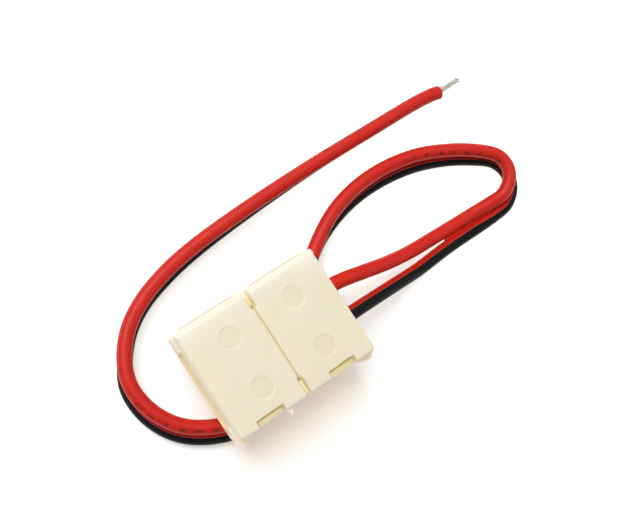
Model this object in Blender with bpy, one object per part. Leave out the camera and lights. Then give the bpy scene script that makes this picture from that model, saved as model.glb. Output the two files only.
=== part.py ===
"""Snap connector that joins an 8 mm two-conductor light strip to a twin lead.

Metres, +Z up. The origin is the centre of the closed housing. The strip goes in at the
-X end and the lead leaves at the +X end. Both lids hinge on the +Y side and latch on the
-Y side. The housing stands on its own lead, which lies on the plane at LEAD_FLOOR_Z.
"""

import math

import bmesh
import bpy
from mathutils import Matrix, Vector

# Housing
HOUSING_LENGTH = 0.0160
HOUSING_WIDTH = 0.0119
HOUSING_HEIGHT = 0.0045
FLOOR_THICKNESS = 0.0007
LATCH_WALL_INSET = 0.00015
EAR_REACH = 0.00055
EAR_LENGTH = 0.0011
EAR_END_INSET = 0.00005
EAR_CORNER_RADIUS = 0.0004
WIRE_END_CORNER_RADIUS = 0.0008
STRIP_END_CORNER_RADIUS = 0.0006
HINGE_CORNER_RADIUS = 0.0003
RIM_RADIUS = 0.00015

# Lids
LID_THICKNESS = 0.0015
LID_SLIT = 0.0002
LID_SLIT_X = -0.00005
LID_SLIT_HALF_LENGTH = 0.00395
STRIP_LID_END_INSET = 0.00015
STRIP_LID_SETBACK = 0.00015
WIRE_LID_SETBACK = 0.00025
SLIT_PIT_RADIUS = 0.0002
NOTCH_LENGTH = 0.00305
NOTCH_DEPTH = 0.00085
NOTCH_CENTRE_X = 0.0042
HOOK_HEIGHT = 0.0013
HOOK_NOSE_REACH = 0.0001
HOOK_RAMP_HEIGHT = 0.00045
MARK_RADIUS = 0.00115
MARK_DEPTH = 0.00012
MARK_SPACING = 0.0056
STRIP_LID_MARK_X = -0.00345
WIRE_LID_MARK_X = 0.00385
BASE_MARK_X = 0.0040

# Strip bay
STRIP_WIDTH = 0.0080
STRIP_THICKNESS = 0.0003
STRIP_SIDE_PLAY = 0.00015
STRIP_MOUTH_DEPTH = 0.0003
STRIP_MOUTH_LENGTH = 0.0007
PARTITION_THICKNESS = 0.0012
PARTITION_POST_WIDTH = 0.00024
PARTITION_POST_DROP = 0.0006
RAIL_INSET = 0.00035
RAIL_WIDTH = 0.0004
RAIL_END_GAP = 0.0006

# Wire bay
WIRE_DIAMETER = 0.00155
WIRE_SPACING = 0.0035
CONDUCTOR_DIAMETER = 0.00075
CRIMP_BAY_LENGTH = 0.0038
CORE_OUT_INNER_WALL = 0.0008
CORE_OUT_WALL = 0.0011
CORE_OUT_END_WALL = 0.0010
INSULATION_INSET = 0.0033
CONDUCTOR_LENGTH = 0.0027
CLAMP_RIB_THICKNESS = 0.0005
CLAMP_RIB_WIDTH = 0.0016
CLAMP_RIB_INSETS = (0.0014, 0.0027)
CRIMP_PAD_LENGTH = 0.0012

# Contacts
SHEET_THICKNESS = 0.00025
CONTACT_WIDTH = 0.0012
CRIMP_LENGTH = 0.0018
CRIMP_MOUTH_HALF_ANGLE = 42.0
TONGUE_REACH = 0.0050
TONGUE_CREST = 0.00105
TONGUE_PAD_LENGTH = 0.0014

# Clearances
SEAT_GAP = 0.0002
CRIMP_GAP = 0.00015
HOOK_GAP = 0.0001

# Lead
HOUSING_LIFT = 0.0035
TWIN_PITCH = 0.00165
TWIN_LONGEST_STEP = 0.0044
APART_LONGEST_STEP = 0.0034
LARGEST_TURN = math.radians(24)
BARE_END_LENGTH = 0.0030

# Smoothness
CURVE_SIDES = 24
CURVE_STEPS = 12
SHARP_ANGLE = math.radians(35)

# Heights and places that follow from the sizes above
BOTTOM_Z = -HOUSING_HEIGHT / 2
TOP_Z = HOUSING_HEIGHT / 2
LID_UNDERSIDE_Z = TOP_Z - LID_THICKNESS
WALL_TOP_Z = LID_UNDERSIDE_Z - SEAT_GAP
FLOOR_Z = BOTTOM_Z + FLOOR_THICKNESS
WIRE_AXIS_Z = FLOOR_Z + SEAT_GAP + WIRE_DIAMETER / 2
CRIMP_INNER_RADIUS = CONDUCTOR_DIAMETER / 2 + CRIMP_GAP
CRIMP_OUTER_RADIUS = CRIMP_INNER_RADIUS + SHEET_THICKNESS
SHEET_Z = WIRE_AXIS_Z - CRIMP_OUTER_RADIUS + SHEET_THICKNESS / 2
STRIP_END_X = -HOUSING_LENGTH / 2
STRIP_LID_END_X = STRIP_END_X + STRIP_LID_END_INSET
WIRE_END_X = HOUSING_LENGTH / 2
HINGE_Y = HOUSING_WIDTH / 2 - LID_THICKNESS / 2
HINGE_Z = TOP_Z - LID_THICKNESS / 2
LATCH_Y = -HOUSING_WIDTH / 2
LATCH_WALL_Y = LATCH_Y + LATCH_WALL_INSET
NOTCH_Y = LATCH_Y + NOTCH_DEPTH
STRIP_BAY_HALF_WIDTH = STRIP_WIDTH / 2 + STRIP_SIDE_PLAY
PARTITION_X = PARTITION_THICKNESS / 2
CRIMP_BAY_END_X = PARTITION_X + CRIMP_BAY_LENGTH
WIRE_Y = WIRE_SPACING / 2
CHANNEL_HALF_WIDTH = WIRE_DIAMETER / 2 + SEAT_GAP
INSULATION_X = WIRE_END_X - INSULATION_INSET
CONDUCTOR_END_X = INSULATION_X - SEAT_GAP
CRIMP_X = CONDUCTOR_END_X - CONDUCTOR_LENGTH / 2
LEAD_FLOOR_Z = BOTTOM_Z - HOUSING_LIFT
FLAT_WIRE_Z = LEAD_FLOOR_Z + WIRE_DIAMETER / 2
BEYOND = 0.002

# Route of each wire from the housing down to where the two join
RED_APART = (
    (INSULATION_X, WIRE_Y, WIRE_AXIS_Z),
    (WIRE_END_X, WIRE_Y, WIRE_AXIS_Z),
    (0.0100, 0.00156, -0.00075),
    (0.0126, 0.00108, -0.00152),
    (0.0158, 0.00050, -0.00270),
    (0.0192, 0.00014, -0.00388),
    (0.0228, 0.00007, -0.00455),
    (0.0256, -0.00003, -0.00464),
)
BLACK_APART = (
    (INSULATION_X, -WIRE_Y, WIRE_AXIS_Z),
    (WIRE_END_X, -WIRE_Y, WIRE_AXIS_Z),
    (0.0100, -0.00176, -0.00080),
    (0.0126, -0.00182, -0.00170),
    (0.0158, -0.00192, -0.00300),
    (0.0192, -0.00200, -0.00425),
    (0.0228, -0.00195, -0.00485),
    (0.0256, -0.00185, -0.00495),
)

# Route of the joined twin lead: x and y of its middle, and how far the pair leans from
# standing on edge, in degrees, with the black wire below the red one. A positive lean
# puts the black wire on the right-hand side of the way the lead runs.
TWIN_ROUTE = (
    (0.0284, -0.00099, 77.0),
    (0.0308, -0.00096, 63.0),
    (0.03285, -0.00072, 50.0),
    (0.03479, 0.00028, 34.0),
    (0.03532, 0.00190, 15.0),
    (0.0345, 0.00364, -5.0),
    (0.0329, 0.00522, -17.0),
    (0.0299, 0.00690, -23.5),
    (0.0262, 0.00827, -31.0),
    (0.0222, 0.00890, -33.0),
    (0.0183, 0.00880, -29.0),
    (0.0146, 0.00796, -22.0),
    (0.0111, 0.00630, -11.0),
    (0.0080, 0.00393, -11.0),
    (0.0047, 0.00025, -18.0),
    (0.0014, -0.00312, -26.0),
    (-0.0022, -0.00477, -32.0),
    (-0.0058, -0.00503, -36.0),
    (-0.0090, -0.00390, -36.0),
    (-0.0115, -0.00194, -31.0),
    (-0.0130, 0.00085, -22.0),
    (-0.0133, 0.00394, -11.0),
    (-0.01225, 0.00655, 3.0),
    (-0.01032, 0.00886, 8.0),
    (-0.00774, 0.01052, 9.0),
    (-0.00447, 0.01167, 10.5),
    (-0.00079, 0.01244, 9.0),
    (0.0040, 0.01298, 5.0),
    (0.0100, 0.01341, 0.0),
    (0.0165, 0.01371, -6.0),
    (0.0230, 0.01381, -8.0),
    (0.0290, 0.01388, -8.5),
    (0.0316, 0.01378, -10.0),
)
RED_END = (0.0333, 0.01343, -0.00338)
RED_BARE_BEND = (0.00150, 0.00010, -0.00010)
RED_BARE_TIP = (0.00300, -0.00030, -0.00030)


def clear_scene():
    for old in list(bpy.data.objects):
        bpy.data.objects.remove(old, do_unlink=True)


def plastic(name, colour, roughness, metallic=0.0):
    """Returns a plain Principled material."""
    material = bpy.data.materials.new(name)
    material.use_nodes = True
    shader = material.node_tree.nodes["Principled BSDF"]
    shader.inputs["Base Color"].default_value = (*colour, 1.0)
    shader.inputs["Roughness"].default_value = roughness
    shader.inputs["Metallic"].default_value = metallic
    material.diffuse_color = (*colour, 1.0)
    return material


def finish_mesh(name, bm, material):
    """Turns a bmesh of closed shapes into an object with its faces pointing out."""
    bmesh.ops.recalc_face_normals(bm, faces=bm.faces[:])
    mesh = bpy.data.meshes.new(name)
    bm.to_mesh(mesh)
    bm.free()
    part = bpy.data.objects.new(name, mesh)
    bpy.context.scene.collection.objects.link(part)
    if material:
        mesh.materials.append(material)
        mesh.shade_smooth()
        mesh.set_sharp_from_angle(angle=SHARP_ANGLE)
    return part


def add_loft(bm, sections):
    """Adds a closed shape through sections that have the same number of points."""
    rings = [[bm.verts.new(point) for point in section] for section in sections]
    bm.faces.new(rings[0])
    bm.faces.new(rings[-1])
    count = len(rings[0])
    for lower, upper in zip(rings, rings[1:]):
        for i in range(count):
            j = (i + 1) % count
            bm.faces.new((lower[i], lower[j], upper[j], upper[i]))


def add_prism(bm, outline, axis, low, high):
    """Adds an outline in the two other axes, in X, Y, Z order, extruded along axis."""
    order = {"X": (2, 0, 1), "Y": (0, 2, 1), "Z": (0, 1, 2)}[axis]
    sections = []
    for reach in (low, high):
        sections.append([[(*point, reach)[k] for k in order] for point in outline])
    add_loft(bm, sections)


def add_box(bm, low, high):
    outline = ((low[0], low[1]), (high[0], low[1]), (high[0], high[1]), (low[0], high[1]))
    add_prism(bm, outline, "Z", low[2], high[2])


def arc(centre, radius, start, end, steps):
    """Returns the points of an arc, with its angles in degrees."""
    points = []
    for i in range(steps + 1):
        angle = math.radians(start + (end - start) * i / steps)
        points.append((centre[0] + radius * math.cos(angle), centre[1] + radius * math.sin(angle)))
    return points


def circle(centre, radius, sides=CURVE_SIDES):
    return arc(centre, radius, 0, 360 - 360 / sides, sides - 1)


def boolean(part, bm, operation, label):
    """Cuts the shapes in bm from a part, or joins them to it."""
    helper = finish_mesh(f"{part.name}_{label}", bm, None)
    helper.hide_render = True
    helper.display_type = "WIRE"
    modifier = part.modifiers.new(label, "BOOLEAN")
    modifier.operation = operation
    modifier.solver = "EXACT"
    modifier.object = helper


def settle(part):
    """Makes a part's cuts and joins real, and shades it smooth between its edges."""
    shaped = part.evaluated_get(bpy.context.evaluated_depsgraph_get())
    mesh = bpy.data.meshes.new_from_object(shaped)
    helpers = [modifier.object for modifier in part.modifiers]
    part.modifiers.clear()
    part.data = mesh
    mesh.shade_smooth()
    mesh.set_sharp_from_angle(angle=SHARP_ANGLE)
    for helper in helpers:
        bpy.data.objects.remove(helper, do_unlink=True)


def base_outline(inset):
    """Returns the base's rounded plan outline, drawn in by inset."""
    left = STRIP_END_X + inset
    right = WIRE_END_X - inset
    near = LATCH_WALL_Y + inset
    far = HOUSING_WIDTH / 2 - inset
    corners = (
        (left, near, 1, 1, STRIP_END_CORNER_RADIUS, 180),
        (right, near, -1, 1, WIRE_END_CORNER_RADIUS, 270),
        (right, far, -1, -1, HINGE_CORNER_RADIUS, 0),
        (left, far, 1, -1, HINGE_CORNER_RADIUS, 90),
    )
    outline = []
    for x, y, inward_x, inward_y, radius, start in corners:
        rounding = max(radius - inset, RIM_RADIUS / 4)
        centre = (x + inward_x * rounding, y + inward_y * rounding)
        outline += arc(centre, rounding, start, start + 90, 5)
    return outline


def add_base_body(bm):
    """Adds the base block, with its lower rim rounded."""
    sections = []
    for x, z in arc((RIM_RADIUS, BOTTOM_Z + RIM_RADIUS), RIM_RADIUS, 270, 180, 3):
        sections.append([(*point, z) for point in base_outline(x)])
    sections.append([(*point, WALL_TOP_Z) for point in base_outline(0.0)])
    add_loft(bm, sections)


def add_corner_ears(bm):
    """Adds the two ears that stick out past the lids at the latch side's corners."""
    radius = EAR_CORNER_RADIUS
    near = LATCH_Y - EAR_REACH
    inner_y = LATCH_WALL_Y + WIRE_END_CORNER_RADIUS
    for way in (-1, 1):
        end_x = HOUSING_LENGTH / 2 - EAR_END_INSET
        start_x = end_x - EAR_LENGTH
        plan = [(start_x, inner_y)]
        plan += arc((start_x + radius, near + radius), radius, 180, 270, 5)
        plan += arc((end_x - radius, near + radius), radius, 270, 360, 5)
        plan.append((end_x, inner_y))
        outline = [(way * x, y) for x, y in plan]
        add_prism(bm, outline, "Z", BOTTOM_Z + RIM_RADIUS, WALL_TOP_Z)


def add_hooks(bm):
    """Adds the two latch hooks, which stand in the lids' notches."""
    outer = LATCH_WALL_Y
    nose = NOTCH_Y - HOOK_GAP
    inner = nose - HOOK_NOSE_REACH
    crown = WALL_TOP_Z + HOOK_HEIGHT
    ramp = crown - HOOK_RAMP_HEIGHT
    middle = (outer + inner) / 2
    outline = (
        (outer, WALL_TOP_Z - SEAT_GAP),
        (outer, ramp),
        (outer + HOOK_NOSE_REACH, crown - HOOK_NOSE_REACH),
        (middle, crown),
        (nose, ramp),
        (nose, ramp - HOOK_NOSE_REACH),
        (inner, ramp - 2 * HOOK_NOSE_REACH),
        (inner, WALL_TOP_Z - SEAT_GAP),
    )
    half = NOTCH_LENGTH / 2 - SEAT_GAP
    for centre in (-NOTCH_CENTRE_X, NOTCH_CENTRE_X):
        add_prism(bm, outline, "X", centre - half, centre + half)


def add_partition_posts(bm):
    """Adds the thin posts that show between the lids beyond the slit's ends."""
    half = PARTITION_POST_WIDTH / 2
    top = TOP_Z - PARTITION_POST_DROP
    inner = LID_SLIT_HALF_LENGTH + SLIT_PIT_RADIUS + SEAT_GAP
    low_z = WALL_TOP_Z - SEAT_GAP
    add_box(bm, (-half, LATCH_WALL_Y + RIM_RADIUS, low_z), (half, -inner, top))
    add_box(bm, (-half, inner, low_z), (half, HINGE_Y, top))


def add_strip_bay(bm):
    """Adds the hollow that takes the strip, with a lead-in at its mouth."""
    outline = (
        (STRIP_END_X - BEYOND, FLOOR_Z - STRIP_MOUTH_DEPTH),
        (STRIP_END_X, FLOOR_Z - STRIP_MOUTH_DEPTH),
        (STRIP_END_X + STRIP_MOUTH_LENGTH, FLOOR_Z),
        (-PARTITION_X, FLOOR_Z),
        (-PARTITION_X, WALL_TOP_Z + BEYOND),
        (STRIP_END_X - BEYOND, WALL_TOP_Z + BEYOND),
    )
    add_prism(bm, outline, "Y", -STRIP_BAY_HALF_WIDTH, STRIP_BAY_HALF_WIDTH)


def add_core_outs(bm):
    """Adds the two pockets that keep the wire bay's outer walls thin."""
    inner = WIRE_Y + CHANNEL_HALF_WIDTH + CORE_OUT_INNER_WALL
    outer = HOUSING_WIDTH / 2 - CORE_OUT_WALL
    low = (PARTITION_X + CORE_OUT_END_WALL, inner, FLOOR_Z)
    high = (WIRE_END_X - CORE_OUT_END_WALL, outer, WALL_TOP_Z + BEYOND)
    add_box(bm, low, high)
    add_box(bm, (low[0], -high[1], low[2]), (high[0], -low[1], high[2]))


def add_contact_slots(bm):
    """Adds the slots in the partition, through which the contacts pass."""
    half = CONTACT_WIDTH / 2 + SEAT_GAP
    for y in (-WIRE_Y, WIRE_Y):
        add_box(
            bm,
            (-PARTITION_X - SEAT_GAP, y - half, FLOOR_Z),
            (PARTITION_X + SEAT_GAP, y + half, WALL_TOP_Z + BEYOND),
        )


def add_crimp_bays(bm):
    """Adds the flat-bottomed pockets that hold the crimps."""
    for y in (-WIRE_Y, WIRE_Y):
        add_box(
            bm,
            (PARTITION_X, y - CHANNEL_HALF_WIDTH, FLOOR_Z),
            (CRIMP_BAY_END_X, y + CHANNEL_HALF_WIDTH, WALL_TOP_Z + BEYOND),
        )


def add_wire_channels(bm):
    """Adds the round-bottomed channels that lead the wires out of the end wall."""
    for y in (-WIRE_Y, WIRE_Y):
        outline = arc((y, WIRE_AXIS_Z), CHANNEL_HALF_WIDTH, 180, 360, 12)
        outline += [
            (y + CHANNEL_HALF_WIDTH, WALL_TOP_Z + BEYOND),
            (y - CHANNEL_HALF_WIDTH, WALL_TOP_Z + BEYOND),
        ]
        add_prism(bm, outline, "X", CRIMP_BAY_END_X - SEAT_GAP, WIRE_END_X + BEYOND)


def add_base_marks(bm):
    for x in (-BASE_MARK_X, BASE_MARK_X):
        add_prism(bm, circle((x, 0.0), MARK_RADIUS), "Z", BOTTOM_Z - BEYOND, BOTTOM_Z + MARK_DEPTH)


def build_base(material):
    """Builds the tray that holds the strip, the contacts and the wires."""
    bm = bmesh.new()
    add_base_body(bm)
    base = finish_mesh("base_housing", bm, material)
    for label, operation, adders in (
        ("ears", "UNION", (add_corner_ears,)),
        ("latches", "UNION", (add_hooks, add_partition_posts)),
        ("bays", "DIFFERENCE", (add_strip_bay, add_core_outs, add_crimp_bays)),
        ("slots", "DIFFERENCE", (add_contact_slots,)),
        ("channels", "DIFFERENCE", (add_wire_channels, add_base_marks)),
    ):
        shapes = bmesh.new()
        for adder in adders:
            adder(shapes)
        boolean(base, shapes, operation, label)
    settle(base)


def lid_section(x, latch_y, inset):
    """Returns a lid's outline across X: square at the latch, round at the hinge."""
    rim = max(RIM_RADIUS - inset, RIM_RADIUS / 4)
    near = latch_y + inset
    low = LID_UNDERSIDE_Z + inset
    high = TOP_Z - inset
    outline = arc((HINGE_Y, HINGE_Z), LID_THICKNESS / 2 - inset, -90, 90, 12)
    outline += arc((near + rim, high - rim), rim, 90, 180, 3)
    outline += arc((near + rim, low + rim), rim, 180, 270, 3)
    return [(x, y, z) for y, z in outline]


def lid_stations(inner_x, outer_x, corner_radius):
    """Returns the stations of a lid, as x, latch side and inset, from slit to outer end."""
    way = math.copysign(1.0, outer_x - inner_x)
    stations = []
    for reach, inset in arc((RIM_RADIUS, RIM_RADIUS), RIM_RADIUS, 180, 270, 3):
        stations.append((inner_x + way * reach, LATCH_Y, inset))
    for angle in (0, 15, 30, 45, 60, 75):
        reach = corner_radius * (1 - math.sin(math.radians(angle)))
        drawn_in = corner_radius * (1 - math.cos(math.radians(angle)))
        inset = max(RIM_RADIUS - reach, 0.0)
        inset = RIM_RADIUS - math.sqrt(RIM_RADIUS**2 - inset**2)
        stations.append((outer_x - way * reach, LATCH_Y + drawn_in, inset))
    last_drawn_in = corner_radius - RIM_RADIUS / 2
    stations.append((outer_x, LATCH_Y + last_drawn_in, RIM_RADIUS))
    return stations


def build_lid_blank(name, inner_x, outer_x, corner_radius, material):
    """Builds a lid's plate with its round hinge edge."""
    bm = bmesh.new()
    sections = [lid_section(*station) for station in lid_stations(inner_x, outer_x, corner_radius)]
    add_loft(bm, sections)
    return finish_mesh(name, bm, material)


def cut_lid(lid, inner_x, setback, mark_x, notch_x):
    """Cuts a lid's setbacks beside the partition posts, its latch notch and its marks."""
    way = math.copysign(1.0, mark_x)
    edges = sorted((inner_x + way * setback, inner_x - way * BEYOND))
    low_z = LID_UNDERSIDE_Z - BEYOND
    high_z = TOP_Z + BEYOND
    end_y = HOUSING_WIDTH / 2 + BEYOND
    shapes = bmesh.new()
    add_box(shapes, (edges[0], LID_SLIT_HALF_LENGTH, low_z), (edges[1], end_y, high_z))
    add_box(shapes, (edges[0], -end_y, low_z), (edges[1], -LID_SLIT_HALF_LENGTH, high_z))
    half = NOTCH_LENGTH / 2
    add_box(shapes, (notch_x - half, -end_y, low_z), (notch_x + half, NOTCH_Y, high_z))
    for y in (-MARK_SPACING / 2, MARK_SPACING / 2):
        add_prism(shapes, circle((mark_x, y), MARK_RADIUS), "Z", TOP_Z - MARK_DEPTH, high_z)
    boolean(lid, shapes, "DIFFERENCE", "cuts")
    pits = bmesh.new()
    for y in (-LID_SLIT_HALF_LENGTH, LID_SLIT_HALF_LENGTH):
        add_prism(pits, circle((LID_SLIT_X, y), SLIT_PIT_RADIUS, 12), "Z", low_z, high_z)
    boolean(lid, pits, "DIFFERENCE", "pits")


def hang_on_hinge(lid):
    """Puts a lid's origin on the hinge axis and leaves its shape where it is."""
    hinge = Vector((0.0, HINGE_Y, HINGE_Z))
    lid.data.transform(Matrix.Translation(-hinge))
    lid.location = hinge


def build_strip_lid(material):
    """Builds the lid that presses the strip and the contact tongues down."""
    inner_x = LID_SLIT_X - LID_SLIT / 2
    lid = build_lid_blank("strip_lid", inner_x, STRIP_LID_END_X, STRIP_END_CORNER_RADIUS, material)
    cut_lid(lid, inner_x, STRIP_LID_SETBACK, STRIP_LID_MARK_X, -NOTCH_CENTRE_X)
    root_z = LID_UNDERSIDE_Z + SEAT_GAP
    rail_z = FLOOR_Z + STRIP_THICKNESS + SEAT_GAP
    outer = STRIP_WIDTH / 2 - RAIL_INSET
    ribs = bmesh.new()
    for near in (-outer, outer - RAIL_WIDTH):
        add_box(
            ribs,
            (STRIP_LID_END_X + RAIL_END_GAP, near, rail_z),
            (-PARTITION_X - RAIL_END_GAP, near + RAIL_WIDTH, root_z),
        )
    pad_z = SHEET_Z + SHEET_THICKNESS / 2 + TONGUE_CREST + SEAT_GAP
    pad_x = -PARTITION_X - SEAT_GAP
    half = CONTACT_WIDTH / 2
    for y in (-WIRE_Y, WIRE_Y):
        add_box(ribs, (pad_x - TONGUE_PAD_LENGTH, y - half, pad_z), (pad_x, y + half, root_z))
    boolean(lid, ribs, "UNION", "ribs")
    settle(lid)
    hang_on_hinge(lid)


def build_wire_lid(material):
    """Builds the lid that clamps the wires and covers the crimps."""
    inner_x = LID_SLIT_X + LID_SLIT / 2
    lid = build_lid_blank("wire_lid", inner_x, WIRE_END_X, WIRE_END_CORNER_RADIUS, material)
    cut_lid(lid, inner_x, WIRE_LID_SETBACK, WIRE_LID_MARK_X, NOTCH_CENTRE_X)
    root_z = LID_UNDERSIDE_Z + SEAT_GAP
    clamp_z = WIRE_AXIS_Z + WIRE_DIAMETER / 2 + SEAT_GAP
    crimp_z = WIRE_AXIS_Z + CRIMP_OUTER_RADIUS + SEAT_GAP
    half = CLAMP_RIB_WIDTH / 2
    ribs = bmesh.new()
    for y in (-WIRE_Y, WIRE_Y):
        for inset in CLAMP_RIB_INSETS:
            x = WIRE_END_X - inset
            add_box(ribs, (x - CLAMP_RIB_THICKNESS, y - half, clamp_z), (x, y + half, root_z))
        crimp_half = CRIMP_PAD_LENGTH / 2
        add_box(
            ribs,
            (CRIMP_X - crimp_half, y - half, crimp_z),
            (CRIMP_X + crimp_half, y + half, root_z),
        )
    boolean(lid, ribs, "UNION", "ribs")
    settle(lid)
    hang_on_hinge(lid)


def contact_line():
    """Returns the contact's middle line from the crimp to the tongue's tip, as x and z."""
    crest = SHEET_Z + TONGUE_CREST
    root_x = -PARTITION_X - SEAT_GAP
    step = TONGUE_REACH / 10
    return (
        (CRIMP_X, SHEET_Z),
        (root_x + step / 2, SHEET_Z),
        (root_x, SHEET_Z + TONGUE_CREST * 0.12),
        (root_x - step / 2, SHEET_Z + TONGUE_CREST * 0.55),
        (root_x - step, SHEET_Z + TONGUE_CREST * 0.90),
        (root_x - step * 1.6, crest),
        (root_x - step * 2.4, crest),
        (root_x - step * 3.2, SHEET_Z + TONGUE_CREST * 0.88),
        (root_x - step * 7.0, SHEET_Z + TONGUE_CREST * 0.20),
        (root_x - step * 7.7, SHEET_Z + TONGUE_CREST * 0.12),
        (root_x - step * 8.3, SHEET_Z + TONGUE_CREST * 0.14),
        (root_x - TONGUE_REACH, SHEET_Z + TONGUE_CREST * 0.50),
    )


def ribbon(line, thickness):
    """Returns the outline of a sheet of even thickness along a line of points."""
    upper = []
    lower = []
    for i, point in enumerate(line):
        before = Vector(line[max(i - 1, 0)])
        after = Vector(line[min(i + 1, len(line) - 1)])
        along = (after - before).normalized()
        across = Vector((-along.y, along.x)) * thickness / 2
        upper.append(tuple(Vector(point) + across))
        lower.append(tuple(Vector(point) - across))
    return upper + lower[::-1]


def build_contact(name, y, material):
    """Builds one spring contact: the tongue over the strip bay, and the crimp."""
    bm = bmesh.new()
    outline = ribbon(contact_line(), SHEET_THICKNESS)
    add_prism(bm, outline, "Y", y - CONTACT_WIDTH / 2, y + CONTACT_WIDTH / 2)
    contact = finish_mesh(name, bm, material)
    start = 90 + CRIMP_MOUTH_HALF_ANGLE
    end = 450 - CRIMP_MOUTH_HALF_ANGLE
    outline = arc((y, WIRE_AXIS_Z), CRIMP_OUTER_RADIUS, start, end, 18)
    outline += arc((y, WIRE_AXIS_Z), CRIMP_INNER_RADIUS, end, start, 18)
    barrel = bmesh.new()
    add_prism(barrel, outline, "X", CRIMP_X - CRIMP_LENGTH / 2, CRIMP_X + CRIMP_LENGTH / 2)
    boolean(contact, barrel, "UNION", "barrel")
    settle(contact)


def build_conductor(name, y, material):
    """Builds the stripped wire end that lies in a crimp."""
    bm = bmesh.new()
    outline = circle((y, WIRE_AXIS_Z), CONDUCTOR_DIAMETER / 2, 12)
    add_prism(bm, outline, "X", CONDUCTOR_END_X - CONDUCTOR_LENGTH, CONDUCTOR_END_X)
    finish_mesh(name, bm, material)


def between(before, start, end, after, share):
    """Returns a point of the smooth curve that passes through start and end."""
    leaving = (end - before) / 2
    arriving = (after - start) / 2
    bend = 2 * start - 2 * end + leaving + arriving
    rise = 3 * end - 3 * start - 2 * leaving - arriving
    return start + share * (leaving + share * (rise + share * bend))


def smooth_through(points):
    """Returns close points of a smooth curve that passes through the given ones."""
    chosen = [Vector(point) for point in points]
    padded = [2 * chosen[0] - chosen[1], *chosen, 2 * chosen[-1] - chosen[-2]]
    curve = []
    for i in range(1, len(padded) - 2):
        for step in range(CURVE_STEPS):
            curve.append(between(*padded[i - 1 : i + 3], step / CURVE_STEPS))
    curve.append(chosen[-1])
    return curve


def thinned(curve, longest_step):
    """Keeps the points of a curve that its length and its bends in plan call for."""
    kept = [curve[0]]
    turned = 0.0
    for before, point, after in zip(curve, curve[1:], curve[2:]):
        turned += (point.xy - before.xy).angle(after.xy - point.xy)
        run = (point.xy - kept[-1].xy).length
        if run > longest_step or turned > LARGEST_TURN:
            kept.append(point)
            turned = 0.0
    if len(kept) > 1 and (curve[-1].xy - kept[-1].xy).length < longest_step / 2:
        kept.pop()
    return [*kept, curve[-1]]


def wire_in_twin(middle, side):
    """Returns one wire's points in the joined pair: side 1 is red, above, and -1 black."""
    points = []
    for i, station in enumerate(middle):
        along = middle[min(i + 1, len(middle) - 1)].xy - middle[max(i - 1, 0)].xy
        along.normalize()
        lean = math.radians(station.z)
        across = -side * TWIN_PITCH / 2 * math.sin(lean)
        rise = (1 + side) * TWIN_PITCH / 2 * math.cos(lean)
        x = station.x + across * along.y
        y = station.y - across * along.x
        points.append(Vector((x, y, FLAT_WIRE_Z + rise)))
    return points


def build_tube(name, points, diameter, material):
    """Builds a plain round tube through the points."""
    curve = bpy.data.curves.new(name, "CURVE")
    curve.dimensions = "3D"
    curve.bevel_depth = diameter / 2
    curve.bevel_resolution = 2
    curve.use_fill_caps = True
    spline = curve.splines.new("POLY")
    spline.points.add(len(points) - 1)
    for place, point in zip(spline.points, points):
        place.co = (*point, 1.0)
    curve.materials.append(material)
    tube = bpy.data.objects.new(name, curve)
    bpy.context.scene.collection.objects.link(tube)
    return tube


def build_wire(name, apart, side, end, material):
    """Builds one insulated wire and returns the last two points of its route."""
    twin = wire_in_twin(thinned(smooth_through(TWIN_ROUTE), TWIN_LONGEST_STEP), side)
    alone = smooth_through([*apart, twin[0], twin[1]])[: -CURVE_STEPS]
    points = thinned(alone, APART_LONGEST_STEP) + twin[1:]
    if end:
        points.append(Vector(end))
    build_tube(name, points, WIRE_DIAMETER, material)
    return points[-2], points[-1]


def build_bare_end(name, wire_end, bend, tip, material):
    """Builds the bare conductor beyond the insulation at the lead's far end."""
    before, last = wire_end
    start = last + (last - before).normalized() * SEAT_GAP
    points = [start, start + Vector(bend), start + Vector(tip)]
    build_tube(name, points, CONDUCTOR_DIAMETER, material)


def main():
    clear_scene()
    cream = plastic("cream_plastic", (0.86, 0.82, 0.66), 0.42)
    tin = plastic("tinned_spring_metal", (0.72, 0.70, 0.64), 0.30, 1.0)
    strands = plastic("tinned_strands", (0.80, 0.79, 0.74), 0.38, 1.0)
    red = plastic("red_insulation", (0.72, 0.03, 0.02), 0.35)
    black = plastic("black_insulation", (0.02, 0.02, 0.02), 0.40)
    build_base(cream)
    build_strip_lid(cream)
    build_wire_lid(cream)
    build_contact("positive_contact", WIRE_Y, tin)
    build_contact("negative_contact", -WIRE_Y, tin)
    build_conductor("red_conductor", WIRE_Y, strands)
    build_conductor("black_conductor", -WIRE_Y, strands)
    red_end = build_wire("red_wire", RED_APART, 1, RED_END, red)
    black_end = build_wire("black_wire", BLACK_APART, -1, None, black)
    build_bare_end("red_bare_end", red_end, RED_BARE_BEND, RED_BARE_TIP, strands)
    along = (black_end[1] - black_end[0]).normalized() * BARE_END_LENGTH
    build_bare_end("black_bare_end", black_end, along / 2, along, strands)


main()
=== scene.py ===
"""Looks of a snap connector for a light strip, with its red and black twin lead.

Every size is in metres. The housing's middle is the origin: the strip goes in at -X, the
lead leaves at +X, both lids hinge on the +Y side and the lids' tops face +Z.
"""

import logging
import math
from collections.abc import Callable, Sequence
from dataclasses import dataclass, field
from enum import Enum

import bmesh
import bpy
from mathutils import Matrix, Vector


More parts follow.
